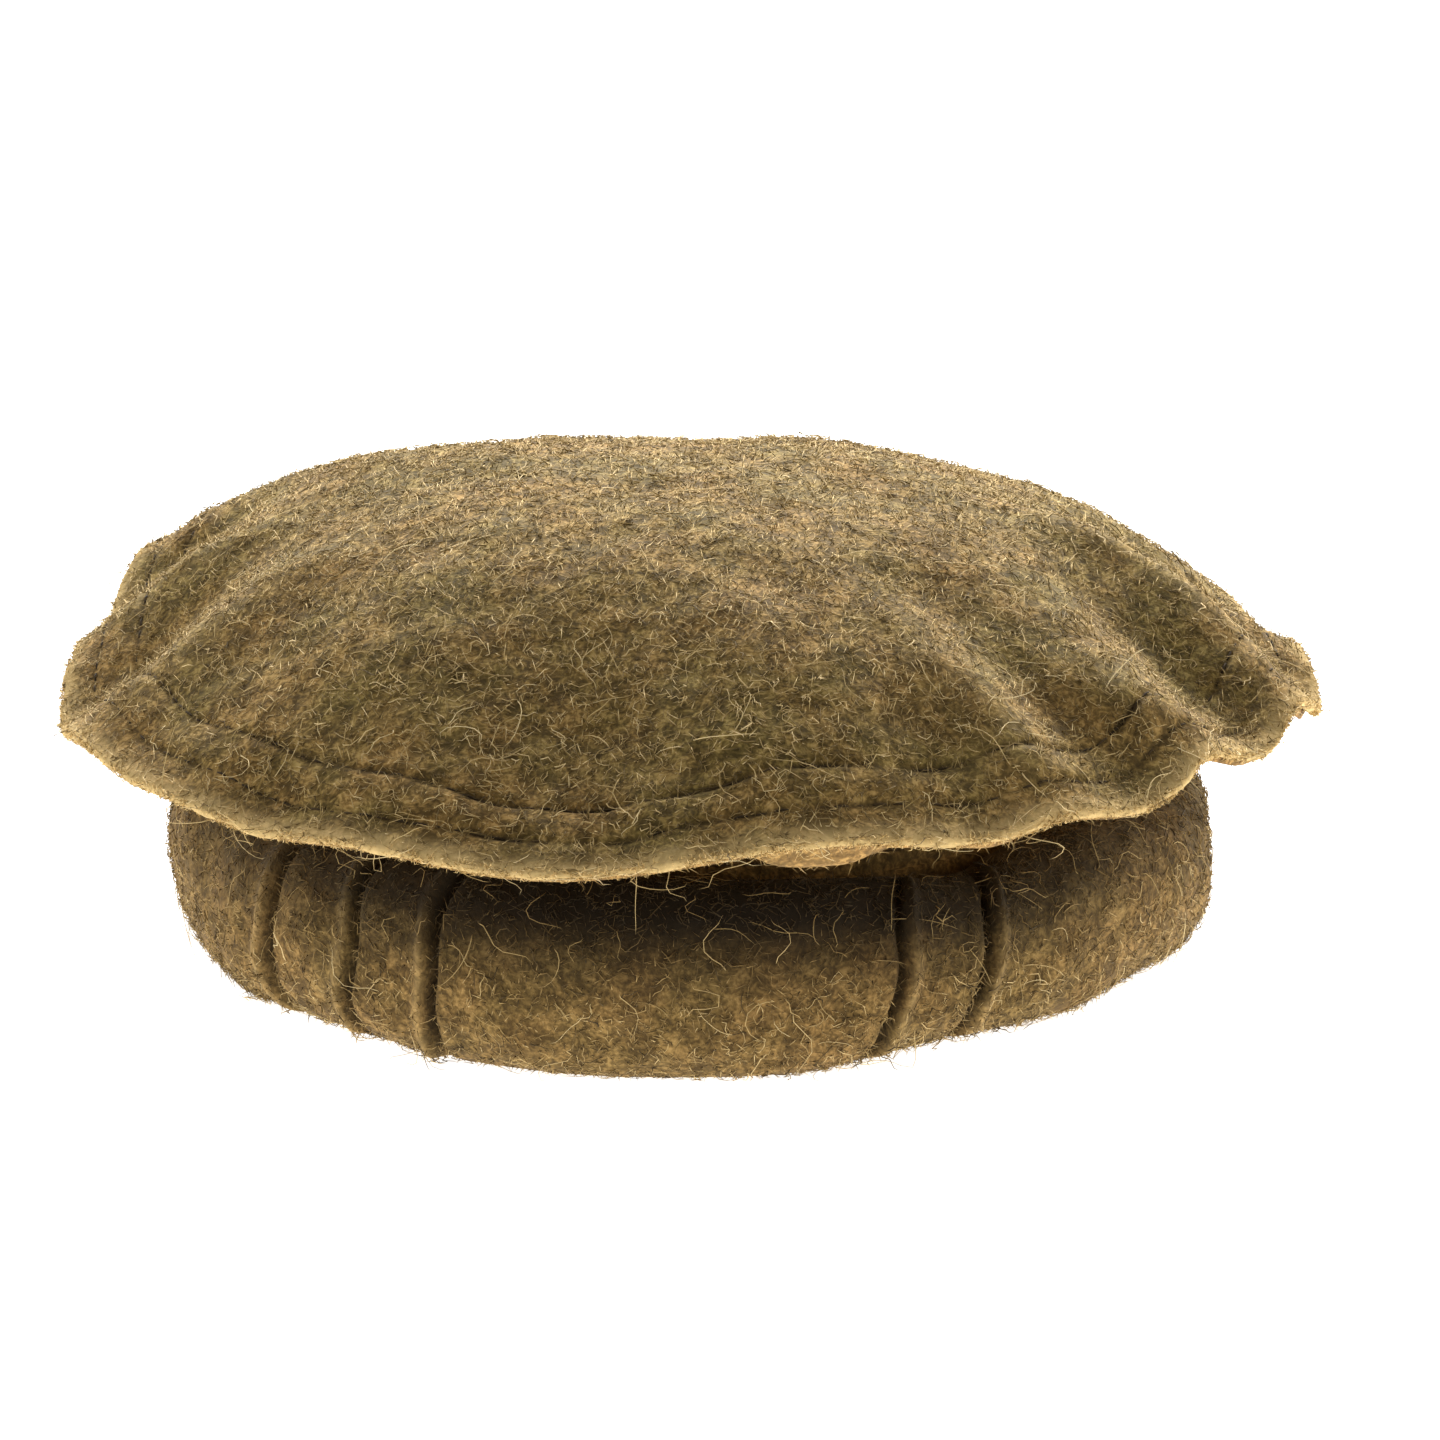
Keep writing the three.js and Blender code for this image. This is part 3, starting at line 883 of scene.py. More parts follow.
    def face(self, azimuth: np.ndarray, share: np.ndarray) -> tuple[np.ndarray, np.ndarray]:
        """The finished outer face and its plain normals, in the part's frame."""
        points = self.form.crown_face(azimuth, share)
        normal = self.form.crown_frame(azimuth, share)[1]
        height = self.relief(azimuth, share, points)
        return points + normal * height[..., None] + self.axis, normal

    def section(self) -> tuple[np.ndarray, ...]:
        """Grid of the whole panel: outer face, half-round edge and inner face.

        Returns:
            (points of shape (columns, rows, 3), worn for rim wear and painted highlights, crease
            for painted shade).
        """
        form = self.form
        azimuth = np.linspace(-180, 180, self.columns, endpoint=False)[:, None]
        half = form.top_cloth / 2
        last = 1 - half / form.crown_radius
        outer = np.append(np.linspace(0.015, 0.85, 72, endpoint=False),
                          np.linspace(0.85, last, 54))[None, :]
        inner = np.append(np.linspace(last, 0.8, 8, endpoint=False),
                          np.linspace(0.8, 0.02, 18))[None, :]
        top = self.face(*np.broadcast_arrays(azimuth, outer))[0]
        rim = np.full_like(azimuth, last)
        outward, normal = form.crown_frame(azimuth, rim)
        centre = form.crown_depth(azimuth, rim, np.full_like(azimuth, half))
        angles = np.array([60, 35, 12, -12, -35, -60])
        turn = np.radians(angles)[None, :, None]
        frayed = 1 + 0.25 * self.drawn.at(centre)[..., None]
        facing = np.cos(turn) * outward + np.sin(turn) * normal
        edge = centre + half * frayed * facing + self.axis
        grid = np.broadcast_arrays(azimuth, inner)
        back = form.crown_depth(*grid, np.full(grid[0].shape, form.top_cloth)) + self.axis
        points = np.concatenate([top, edge, back], axis=1)
        inside = np.full(inner.shape[1], 1.0)
        inset = np.concatenate([(1 - outer[0]) * form.crown_radius, np.zeros(len(angles)), inside])
        shares = np.concatenate([outer[0], np.ones(len(angles)), inner[0]])[None, :]
        folded = self.creases(azimuth, shares) * (inset < 1.0)
        # Pale at the rim from wear, with a painted highlight on the crests of the creases.
        wear_and_highlight = np.maximum(bell(inset / self.worn_width), 0.25 * np.clip(folded, 0, 1))
        # Painted shade in the furrows, and in the stitched grooves below.
        crease = 0.35 * np.clip(-folded, 0, 1)
        for row in range(2):
            off = (inset[None, :] - self.row_inset(azimuth, row)) / self.row_shade
            crease = np.maximum(crease, bell(off) * self.tightness(azimuth, row))
        return points, wear_and_highlight, crease

    def build(self, finish: WoolFinish, material: bpy.types.Material) -> bpy.types.Object:
        """Makes the panel."""
        points, wear_and_highlight, crease = self.section()
        columns, rows = points.shape[:2]
        poles = np.stack([points[:, 0].mean(axis=0), points[:, -1].mean(axis=0)])
        faces = Mesh.ring_faces(columns, rows, closed_rows=False)
        values = {name: np.append(numbers.ravel(), [0, 0])
                  for name, numbers in (("wear_and_highlight", wear_and_highlight), ("crease", crease))}
        points = np.concatenate([points.reshape(-1, 3), poles])
        piece = Mesh.piece("crown_top_wool", points, faces, values)
        dress(piece, material, finish.slot, "crown_top")
        return piece

    def roots(self, rng: np.random.Generator, count: int) -> tuple[np.ndarray, ...]:
        """Random places on the outer face, even over its area, with their normals and depths.

        A root's depth is 1 in a tight row of stitches or a deep furrow, and 0 elsewhere; it
        darkens the fibre as painted shade.
        """
        share, azimuth = np.sqrt(rng.uniform(0, 0.998, count)), rng.uniform(-180, 180, count)
        inset = (1 - share) * self.form.crown_radius
        depth = 0.35 * np.clip(-self.creases(azimuth, share), 0, 1)
        for row in range(2):
            off = (inset - self.row_inset(azimuth, row)) / (1.5 * MM)
            depth = np.maximum(depth, bell(off) * self.tightness(azimuth, row))
        return *self.face(azimuth, share), depth

    def rim_roots(self, rng: np.random.Generator, count: int) -> tuple[np.ndarray, ...]:
        """Random places round the rounded edge, with normals that face out and down."""
        azimuth = rng.uniform(-180, 180, count)
        half = self.form.top_cloth / 2
        share = np.full(count, 1 - half / self.form.crown_radius)
        outward, normal = self.form.crown_frame(azimuth, share)
        centre = self.form.crown_depth(azimuth, share, np.full(count, half))
        turn = np.radians(rng.uniform(-75, 80, count))[:, None]
        facing = np.cos(turn) * outward + np.sin(turn) * normal
        return centre + half * facing + self.axis, facing, np.zeros(count)


@dataclass
class RimStitching:
    """The two rows of thread round the rim, one short stitch after another.

    Attributes:
        crown: The panel that is stitched.
        pitch: From one stitch to the next.
        cover: Share of the pitch that a stitch shows.
        thread: The thread's radius.
        stations: Points along a stitch.
    """

    crown: CrownTop
    pitch: float = 4.4 * MM
    cover: float = 0.72
    thread: float = 0.26 * MM
    stations: int = 6

    def build(self, finish: FibreFinish) -> bpy.types.Object:
        """Makes the stitches. Each follows its groove and dives into the cloth at its ends."""
        form = self.crown.form
        rng = np.random.default_rng(31)
        paths, ups = [], []
        for row in range(2):
            around = 2 * math.pi * (form.crown_radius - self.crown.rows[row])
            count = round(around / self.pitch)
            centre = np.linspace(-180, 180, count, endpoint=False)[:, None]
            step = np.linspace(-0.5, 0.5, self.stations)[None, :]
            azimuth = centre + step * self.cover * 360 / count
            share = 1 - self.crown.row_inset(azimuth, row) / form.crown_radius
            points, normal = self.crown.face(azimuth, share)
            loose = rng.uniform(-0.35, 0.25, (count, 1))
            loose = loose + 0.3 * (self.crown.tightness(centre, row) - 0.5)
            rise = (0.42 * np.cos(np.pi * step) - 0.3 + loose) * MM
            paths.append(points + normal * rise[..., None])
            ups.append(normal[:, self.stations // 2])
        path, up = np.concatenate(paths), np.concatenate(ups)
        radii = np.full(path.shape[:2], self.thread)
        points, faces, owner = Mesh.tubes(path, radii, up, sides=6, pointed=False)
        tint = rng.uniform(0, 1, len(path))[owner]
        piece = Mesh.piece("rim_stitching", points, faces, {"tint": tint})
        dress(piece, finish.material(), finish.slot)
        return piece


@dataclass
class CrownUnderside:
    """The ring of cloth under the rim, with puckers and the pleats that run to the neck.

    Attributes:
        form: The hat's sizes.
        axis: The hat's axis in the part's frame.
        columns: Sections round the axis.
        pucker: Where the lower face is uneven.
        flap_at: Azimuth of the flap that hangs below the lip.
        flap_width: Its half width, in degrees.
        flap_drop: How far it hangs.
        most_drop: The drop that a pucker comes close to and doesn't pass.
        flange_part: Share of the section that lies along the flange.
    """

    form: HatForm
    axis: np.ndarray
    columns: int = 360
    pucker: Ripples = field(default_factory=lambda: Ripples(21, 15 * MM))
    flap_at: float = 12.5
    flap_width: float = 7
    flap_drop: float = 3 * MM
    most_drop: float = 9.2 * MM
    flange_part: float = 3 / 7

    def gather(self, azimuth: np.ndarray, inwards: np.ndarray) -> np.ndarray:
        """How far the cloth sags: puckers and one blunt flap, most just inside the flange."""
        shape = ease(inwards / 0.13) * (1 - ease((inwards - 0.4) / 0.45))
        puckers = sum(g.drop * bell_at(azimuth, g.at, g.width) for g in GATHERS)
        off = wrapped(azimuth - self.flap_at) / self.flap_width
        drop = self.form.gather_drop * puckers + self.flap_drop * np.exp(-np.abs(off) ** 4)
        return shape * drop / (1 + (np.maximum(drop, 0) / self.most_drop) ** 6) ** (1 / 6)

    def pleats(self, azimuth: np.ndarray, inwards: np.ndarray) -> np.ndarray:
        """Height of the pleats over the plain cloth, grown towards the neck."""
        grown = ease((inwards - 0.35) / 0.4) * (1 - ease((inwards - 0.9) / 0.1))
        total = np.zeros(np.broadcast_shapes(azimuth.shape, inwards.shape))
        for pleat in PLEATS:
            along = np.radians(wrapped(azimuth - pleat.at)) * self.form.roll_radius * pleat.side
            crease = -0.6 * np.exp(-np.abs(along) / (3 * MM))
            total = total + np.where(along < 0, bell(along / (4 * MM)), crease)
        return 1.1 * MM * total * grown

    def side(self, azimuth: np.ndarray, inwards: np.ndarray,
             side: int) -> tuple[np.ndarray, np.ndarray]:
        """One face of the cloth from the rim, 0, to the neck, 1.

        The flange's part follows the crown's face at a fixed depth, and the rest hangs along
        a cubic curve.

        Args:
            azimuth: Degrees, shape (columns, 1).
            inwards: Share of the way, shape (1, rows).
            side: 1 for the upper face and -1 for the lower one.

        Returns:
            (points, worn), with shapes (columns, rows, 3) and (columns, rows).
        """
        form, turn = self.form, self.flange_part
        flat = inwards[0] <= turn
        inset = form.flange_recess + form.flange_width * inwards[:, flat] / turn
        share = 1 - inset / form.crown_radius
        depth = form.top_cloth + form.seam_gap + (0 if side > 0 else form.under_cloth)
        grid = np.broadcast_arrays(azimuth, share)
        flange = form.crown_depth(*grid, np.full(grid[0].shape, depth))
        radius, height, out, up = form.drape_line(azimuth, (inwards[:, ~flat] - turn) / (1 - turn))
        length = np.hypot(out, up)
        offset = side * form.under_cloth / 2
        drape = on_axis(azimuth, radius + up / length * offset, height - out / length * offset)
        points = np.concatenate([flange, drape], axis=1)
        points[..., 2] -= self.gather(azimuth, inwards)
        if side < 0:
            ripple = self.pucker.at(points) * ease(inwards / 0.15)
            ripple = ripple * (1 - ease((inwards - 0.9) / 0.1))
            points[..., 2] -= 0.3 * MM * ripple + self.pleats(azimuth, inwards)
        # A painted highlight across the middle of the lower face, where the flap catches light
        # from below.
        wear_and_highlight = 0.35 * np.broadcast_to(bell((inwards - 0.3) / 0.25), points.shape[:2])
        return points + self.axis, wear_and_highlight

    def build(self, finish: WoolFinish, material: bpy.types.Material) -> bpy.types.Object:
        """Makes the ring: its upper face from the neck out, then its lower face back."""
        azimuth = np.linspace(-180, 180, self.columns, endpoint=False)[:, None]
        inwards = np.linspace(0, 1, 34)[None, :]
        upper, _ = self.side(azimuth, np.linspace(0, 1, 22)[None, :], 1)
        lower, wear_and_highlight = self.side(azimuth, inwards, -1)
        points = np.concatenate([upper[:, ::-1], lower], axis=1)
        wear_and_highlight = np.concatenate([np.zeros(upper.shape[:2]), wear_and_highlight], axis=1)
        faces = Mesh.ring_faces(*points.shape[:2], closed_rows=True)
        values = {"wear_and_highlight": wear_and_highlight, "crease": np.zeros_like(wear_and_highlight)}
        piece = Mesh.piece("crown_underside_wool", points.reshape(-1, 3), faces, values)
        dress(piece, material, finish.slot, "crown_underside")
        return piece

    def roots(self, rng: np.random.Generator, count: int) -> tuple[np.ndarray, ...]:
        """Random places on the lower face's outer half, with normals that face down.

        Their depth grows from 0 at the flange's inner edge to 0.8 near the neck, as painted shade
        on their fibres.
        """
        columns, rows = 720, 60
        azimuth = np.linspace(-180, 180, columns, endpoint=False)[:, None]
        inwards = np.linspace(0, 0.75, rows)[None, :]
        points, _ = self.side(azimuth, inwards, -1)
        normal = unit(np.cross(np.gradient(points, axis=1), np.gradient(points, axis=0)))
        normal = normal * -np.sign(normal[..., 2:3])
        column, row = rng.integers(0, columns, count), rng.integers(1, rows - 1, count)
        # Painted shade on the fibres, darker towards the neck under the crown.
        depth = 0.8 * ease((inwards[0, row] - 0.35) / 0.4)
        return points[column, row], normal[column, row], depth


@dataclass
class RolledBand:
    """The thick band: cloth wound in turns, with sewn pleats that pinch it.

    Attributes:
        form: The hat's sizes.
        axis: The hat's axis in the part's frame.
        base_columns: Even sections round the axis.
        pleat_columns: Close sections at each pleat.
        pleat_reach: Half the width of those, in degrees.
        drift_width: How wide a pleat's drift reaches, in degrees.
        ripple: The quick unevenness.
        sway: The slow unevenness.
    """

    form: HatForm
    axis: np.ndarray
    base_columns: int = 200
    pleat_columns: int = 22
    pleat_reach: float = 3.6
    drift_width: float = 5
    ripple: Ripples = field(default_factory=lambda: Ripples(41, 13 * MM))
    sway: Ripples = field(default_factory=lambda: Ripples(42, 38 * MM))

    def drift(self, azimuth: np.ndarray, angle: np.ndarray) -> np.ndarray:
        """How far a pleat wanders from its azimuth, in degrees, over the section."""
        wander = 0.35 * np.sin(np.radians(angle * 2.3 + azimuth * 7))
        wander = wander + 0.25 * np.sin(np.radians(angle * 5.1 + 40))
        straighter = np.abs(wrapped(azimuth + 38)) < 16
        wander = wander + 0.035 * angle * np.where(straighter, 0.4, 1)
        near = sum(bell_at(azimuth, p.at, self.drift_width) for p in PLEATS)
        return wander * np.minimum(near, 1)

    @staticmethod
    def free(angle: np.ndarray) -> np.ndarray:
        """1 where the cloth is free to stand up, and 0 where it rests or is wound in."""
        sine, cosine = np.sin(np.radians(angle)), np.cos(np.radians(angle))
        return ease((sine + 1) / 0.2) * ease((cosine + 0.3) / 0.5)

    def pleat_relief(self, azimuth: np.ndarray, angle: np.ndarray) -> tuple[np.ndarray, ...]:
        """Height of the pleats: a narrow ridge, then a sharp drop to a narrow crease.

        Args:
            azimuth: Degrees, without the drift.
            angle: Degrees round the section.

        Returns:
            (height in metres, painted highlight on the ridge and painted shade in the crease, 0 to
            1).
        """
        height, pale, dark = 0.0, 0.0, 0.0
        for pleat in PLEATS:
            along = np.radians(wrapped(azimuth - pleat.at)) * self.form.roll_radius * pleat.side
            ridge = 0.55 * bell((along + 1.9 * MM) / (1.5 * MM))
            ridge = ridge + 0.2 * bell(np.minimum(along, 0) / (6 * MM))
            step = ease(along / (1.4 * MM) + 0.5)
            valley = -1.5 * bell((along - 1.1 * MM) / (1.2 * MM))
            valley = valley - 0.15 * np.exp(-np.maximum(along, 0) / (6 * MM))
            height = height + pleat.height * ((1 - step) * ridge + step * valley)
            # A painted highlight on the ridge, and painted shade in the crease.
            pale = pale + pleat.height * bell((along + 1.7 * MM) / (1.1 * MM))
            dark = dark + 0.85 * pleat.height * bell((along - 1.0 * MM) / (1.25 * MM))
        grown = self.free(angle)
        height = self.form.pleat_height * height * grown
        return height, 0.4 * pale * grown, np.clip(dark, 0, 1) * grown

    def surface(self, azimuth: np.ndarray, angle: np.ndarray) -> tuple[np.ndarray, ...]:
        """The round of the band with its pleats and ripples.

        Args:
            azimuth: Degrees.
            angle: Degrees round the section, 0 outermost.

        Returns:
            (points in the part's frame, painted highlight on the ridges, painted shade in the
            creases).
        """
        radius, height = self.form.roll_section(azimuth, angle)
        place = on_axis(azimuth, radius, height)
        sine, cosine = np.sin(np.radians(angle)), np.cos(np.radians(angle))
        lift, pale, dark = self.pleat_relief(azimuth, angle)
        uneven = 0.3 * MM * self.ripple.at(place) + 0.6 * MM * self.sway.at(place)
        lift = lift + self.free(angle) * uneven
        radius = radius + lift * np.maximum(cosine, 0)
        height = np.maximum(height + np.where(cosine > 0, lift * sine, 0), 0)
        points = on_axis(azimuth + self.drift(azimuth, angle), radius, height)
        return points + self.axis, pale, dark

    @staticmethod
    def painted_shade_under_crown(azimuth: np.ndarray, angle: np.ndarray) -> np.ndarray:
        """How dark the painted shade is towards the top, where the crown's overhang shades the
        band.

        The painted shade is weaker at the sides, which stick out further into the light.
        """
        # Painted shade under the crown, lessened at the sides.
        lit_sides = 0.55 * np.abs(np.sin(np.radians(azimuth))) ** 3
        return (1.0 - lit_sides) * ease((angle + 14) / 66)

    def wall(self, azimuth: np.ndarray) -> np.ndarray:
        """The inner wall, its flat top and the groove behind it, as points of a section."""
        form = self.form
        inner, top = form.head_radius, form.wall_top
        edge, bevel = inner + form.wall_thickness, form.wall_thickness / 5
        corners = [(inner, height) for height in np.linspace(top / 3, top - bevel, 9)]
        corners += [(inner + 0.3 * bevel, top - 0.3 * bevel), (inner + bevel, top),
                    (edge - bevel, top), (edge - 0.3 * bevel, top - 0.3 * bevel),
                    (edge, top - bevel), (edge + 0.1 * bevel, top - form.groove_depth * 0.6),
                    (edge + 0.6 * bevel, top - form.groove_depth),
                    (edge + 2.2 * bevel, top - form.groove_depth)]
        radius, height = np.array(corners).T
        return on_axis(azimuth, radius[None, :], height[None, :]) + self.axis

    def azimuths(self) -> np.ndarray:
        """Even columns, with closely set ones at each pleat in place of the even ones."""
        close = np.linspace(-1, 1, self.pleat_columns)
        close = self.pleat_reach * np.sign(close) * np.abs(close) ** 1.6
        pleats = np.concatenate([p.at + close for p in PLEATS])
        even = np.linspace(-180, 180, self.base_columns, endpoint=False)
        room = self.pleat_reach + 0.6
        clear = np.all([np.abs(wrapped(even - p.at)) > room for p in PLEATS], axis=0)
        return np.sort(np.concatenate([even[clear], pleats]))

    def build(self, finish: WoolFinish, material: bpy.types.Material) -> bpy.types.Object:
        """Makes the band: the wall, the top, the outside, the bottom and back to the wall."""
        azimuth = self.azimuths()[:, None]
        angle = np.concatenate([np.linspace(128, -90, 68), np.linspace(-93, -158, 14)])[None, :]
        wall = self.wall(azimuth)
        outside, pale, dark = self.surface(*np.broadcast_arrays(azimuth, angle))
        points = np.concatenate([wall, outside], axis=1)
        plain = np.zeros(wall.shape[:2])
        # A painted highlight on the pleat ridges; painted shade in the pleat creases and on the
        # band's top under the crown.
        wear_and_highlight = np.concatenate([plain, pale], axis=1)
        crease = np.concatenate([plain, np.maximum(dark, self.painted_shade_under_crown(azimuth, angle))], axis=1)
        faces = Mesh.ring_faces(*points.shape[:2], closed_rows=True)
        values = {"wear_and_highlight": wear_and_highlight, "crease": crease}
        piece = Mesh.piece("rolled_band_wool", points.reshape(-1, 3), faces, values)
        dress(piece, material, finish.slot, "rolled_band")
        return piece

    def roots(self, rng: np.random.Generator, count: int) -> tuple[np.ndarray, ...]:
        """Random places on the outside, their normals by differences, and their depths."""
        azimuth, angle = rng.uniform(-180, 180, count), rng.uniform(-86, 100, count)
        place, _, dark = self.surface(azimuth, angle)
        across = self.surface(azimuth + 0.2, angle)[0] - place
        round_it = self.surface(azimuth, angle + 1.0)[0] - place
        # The fibres take the same painted shade as the cloth: pleat creases and the band's top
        # under the crown.
        depth = np.maximum(dark, self.painted_shade_under_crown(azimuth, angle))
        return place, unit(np.cross(across, round_it)), depth


@dataclass(frozen=True)
class Fuzz:
    """One kind of fibre, scattered over a face as pointed strands.

    Attributes:
        name: The piece's name.
        count: How many strands.
        length: Shortest and longest, in metres.
        width: The strand's radius at its root.
        lift: Least and greatest angle to the face, in degrees.
        curl: How far a strand turns from root to tip, in degrees, as a spread.
        stations: Points along a strand.
        seed: Fixes the draws.
    """

    name: str
    count: int
    length: tuple[float, float]
    width: float
    lift: tuple[float, float]
    curl: float
    stations: int
    seed: int

    def grow(self, roots: Callable[[np.random.Generator, int], tuple[np.ndarray, ...]],
             finish: FibreFinish, sink: float = 0.25 * MM) -> bpy.types.Object:
        """Grows the strands. Each heading turns steadily and its lift falls off to the tip.

        Args:
            roots: Gives random places, their normals and how deep each lies, 0 to 1, which darkens
                the fibre as painted shade.
            finish: The fibres' finish.
            sink: How deep each root starts in the cloth.

        Returns:
            The joined piece.
        """
        rng = np.random.default_rng(self.seed)
        place, normal, depth = roots(rng, self.count)
        side = unit(np.cross(normal, rng.normal(size=(self.count, 3))))
        other = np.cross(normal, side)
        low, high = self.length
        length = low + (high - low) * rng.beta(1.4, 2.6, self.count)
        step = np.linspace(0, 1, self.stations - 1)[None, :]
        turn = np.radians(self.curl) * rng.normal(size=(self.count, 1))
        bend = np.radians(self.curl) * 0.6 * rng.normal(size=(self.count, 1))
        heading = turn * step + bend * np.sin(2 * np.pi * step)
        lift = np.radians(rng.uniform(*self.lift, (self.count, 1))) * (1 - 1.25 * step)
        along = (np.cos(lift) * np.cos(heading))[..., None] * side[:, None]
        across = (np.cos(lift) * np.sin(heading))[..., None] * other[:, None]
        moves = (along + across + np.sin(lift)[..., None] * normal[:, None]) * (
            length / (self.stations - 1))[:, None, None]
        start = (place - normal * sink)[:, None]
        paths = np.concatenate([start, start + np.cumsum(moves, axis=1)], axis=1)
        paths[..., 2] = np.maximum(paths[..., 2], 2 * self.width)
        taper = np.linspace(1, 0.35, self.stations)[None, :]
        radii = self.width * rng.uniform(0.7, 1.2, (self.count, 1)) * taper
        points, faces, owner = Mesh.tubes(paths, radii, normal, sides=3, pointed=True)
        # A random tone for each fibre, darkened by the painted shade of its root.
        tint = (rng.beta(1.6, 1.9, self.count) * (1 - 0.85 * depth))[owner]
        piece = Mesh.piece(self.name, points, faces, {"tint": tint})
        dress(piece, finish.material(), finish.slot)
        return piece


@dataclass(frozen=True)
class Studio:
    """A plain pale floor, soft light from above and a camera at the photo's angle.

    Attributes:
        elevation: The camera's angle over the floor, in degrees.
        distance: From the camera to its aim.
        aim_height: The aim's height on the hat's axis.
        lens: Focal length in millimetres.
        sensor: Sensor width in millimetres.
        aim_pixel: Where the aim lands in the frame.
        frame_pixels: The frame's width and height.
        floor_reach: From the middle of the floor to its edges.
        lamp_place: The lamp's place.
        lamp_aim: What the lamp points at.
        lamp_size: The lamp's width.
        lamp_power: In watts.
    """

    elevation: float = 16.0
    distance: float = 1.3
    aim_height: float = 55 * MM
    lens: float = 136.5
    aim_pixel: tuple[float, float] = (689.0, 700.0)
    frame_pixels: float = 1440.0
    sensor: float = 36.0
    floor_reach: float = 6.0
    lamp_place: tuple[float, float, float] = (0.15, 1.4, 0.95)
    lamp_aim: tuple[float, float, float] = (0.0, 0.0, 0.06)
    lamp_size: float = 0.8
    lamp_power: float = 104.0

    def camera(self) -> None:
        """Aims the camera at the hat's axis and shifts it so the aim lands on its pixel."""
        data = bpy.data.cameras.new("camera")
        data.lens, data.sensor_width = self.lens, self.sensor
        data.shift_x = (self.frame_pixels / 2 - self.aim_pixel[0]) / self.frame_pixels
        data.shift_y = (self.aim_pixel[1] - self.frame_pixels / 2) / self.frame_pixels
        camera = bpy.data.objects.new("camera", data)
        tilt = math.radians(self.elevation)
        camera.location = (0.0, -self.distance * math.cos(tilt),
                           self.aim_height + self.distance * math.sin(tilt))
        camera.rotation_euler = (math.pi / 2 - tilt, 0.0, 0.0)
        bpy.context.scene.collection.objects.link(camera)
        bpy.context.scene.camera = camera

    def floor(self) -> None:
        """A pale floor at the height where the hat rests. It glows, most near the hat, to light
        the hat from below, and shows evenly bright to the camera.
        """
        corners = self.floor_reach * np.array([[-1, -1, 0], [1, -1, 0], [1, 1, 0], [-1, 1, 0]])
        floor = Mesh.piece("floor", corners, np.array([[0, 1, 2], [0, 2, 3]]))
        material, graph = new_material("pale floor")
        place = graph.add("ShaderNodeTexCoord").outputs["Object"]
        away = graph.add("ShaderNodeVectorMath", {0: place}, operation="LENGTH").outputs["Value"]
        # The floor's glow: strong near the hat, where it lights the hat from below, and weak
        # further out.
        glow = graph.ranged(away, 0.18, 0.45, 2.0, 0.3)
        shader = graph.add("ShaderNodeBsdfPrincipled", {
            "Base Color": (0.8, 0.8, 0.8, 1.0), "Emission Color": WHITE,
            "Emission Strength": graph.to_camera(glow), "Roughness": 0.9,
            "Specular IOR Level": 0.1})
        graph.add("ShaderNodeOutputMaterial", {"Surface": shader.outputs["BSDF"]})
        floor.data.materials.append(material)

    def light(self) -> None:
        """A bright sky, dim towards the camera, and one large soft lamp above the back."""
        world = bpy.data.worlds.new("studio")
        bpy.context.scene.world = world
        world.use_nodes = True
        graph = Graph(world.node_tree)
        way = graph.add("ShaderNodeTexCoord").outputs["Generated"]
        parts = graph.add("ShaderNodeSeparateXYZ", {0: way}).outputs
        back = graph.ranged(parts["Y"], -0.5, 0.5, 0.03, 0.6)
        above = graph.ranged(parts["Z"], 0.4, 1.0, 0.0, 0.05)
        strength = graph.maths("MAXIMUM", back, above)
        right = graph.ranged(parts["X"], 0.55, 0.95, 0.0, 3.6)
        mirrored = graph.maths("MULTIPLY", parts["X"], -1.0)
        left = graph.ranged(mirrored, 0.55, 0.95, 0.0, 3.6)
        strength = graph.maths("MAXIMUM", strength, graph.maths("MAXIMUM", left, right))
        sky = graph.add("ShaderNodeBackground",
                        {"Color": WHITE, "Strength": graph.to_camera(strength)})
        graph.add("ShaderNodeOutputWorld", {"Surface": sky.outputs[0]})
        lamp = bpy.data.lights.new("top lamp", "AREA")
        lamp.shape, lamp.size, lamp.energy = "DISK", self.lamp_size, self.lamp_power
        holder = bpy.data.objects.new("top lamp", lamp)
        holder.location = self.lamp_place
        aim = np.array(self.lamp_aim) - np.array(holder.location)
        holder.rotation_euler = (math.atan2(math.hypot(aim[0], aim[1]), -aim[2]), 0.0,
                                 math.atan2(aim[1], aim[0]) - math.pi / 2)
        bpy.context.scene.collection.objects.link(holder)

    def build(self) -> None:
        """Sets the camera, the floor, the light and a plain view transform."""
        self.camera()
        self.floor()
        self.light()
        bpy.context.scene.view_settings.view_transform = "Standard"
        bpy.context.scene.view_settings.look = "None"


CROWN_WOOL = WoolFinish(
    "crown_wool",
    tones((76, 62, 33), (112, 93, 53), (144, 121, 74), (171, 146, 95), (204, 177, 124)),
    tint=srgb(206, 212, 178), warm=srgb(255, 232, 208),
    edge=srgb(210, 180, 124), painted_shade=srgb(52, 42, 24))
UNDERSIDE_WOOL = WoolFinish(
    "underside_wool",
    tones((74, 56, 32), (112, 88, 52), (148, 119, 72), (178, 146, 92), (208, 176, 120)),
    tint=srgb(226, 214, 184), warm=srgb(255, 232, 206),
    edge=srgb(216, 178, 114), painted_shade=srgb(50, 38, 21))
BAND_WOOL = WoolFinish(
    "band_wool",
    tones((75, 60, 35), (103, 84, 50), (127, 104, 64), (149, 124, 79), (178, 151, 102)),
    tint=srgb(218, 214, 184), warm=srgb(250, 232, 208),
    edge=srgb(204, 172, 114), painted_shade=srgb(28, 22, 14))
CROWN_FIBRES = FibreFinish(
    "crown_wool", "crown fuzz",
    tones((72, 58, 31), (136, 114, 69), (184, 158, 106), (222, 198, 148)))
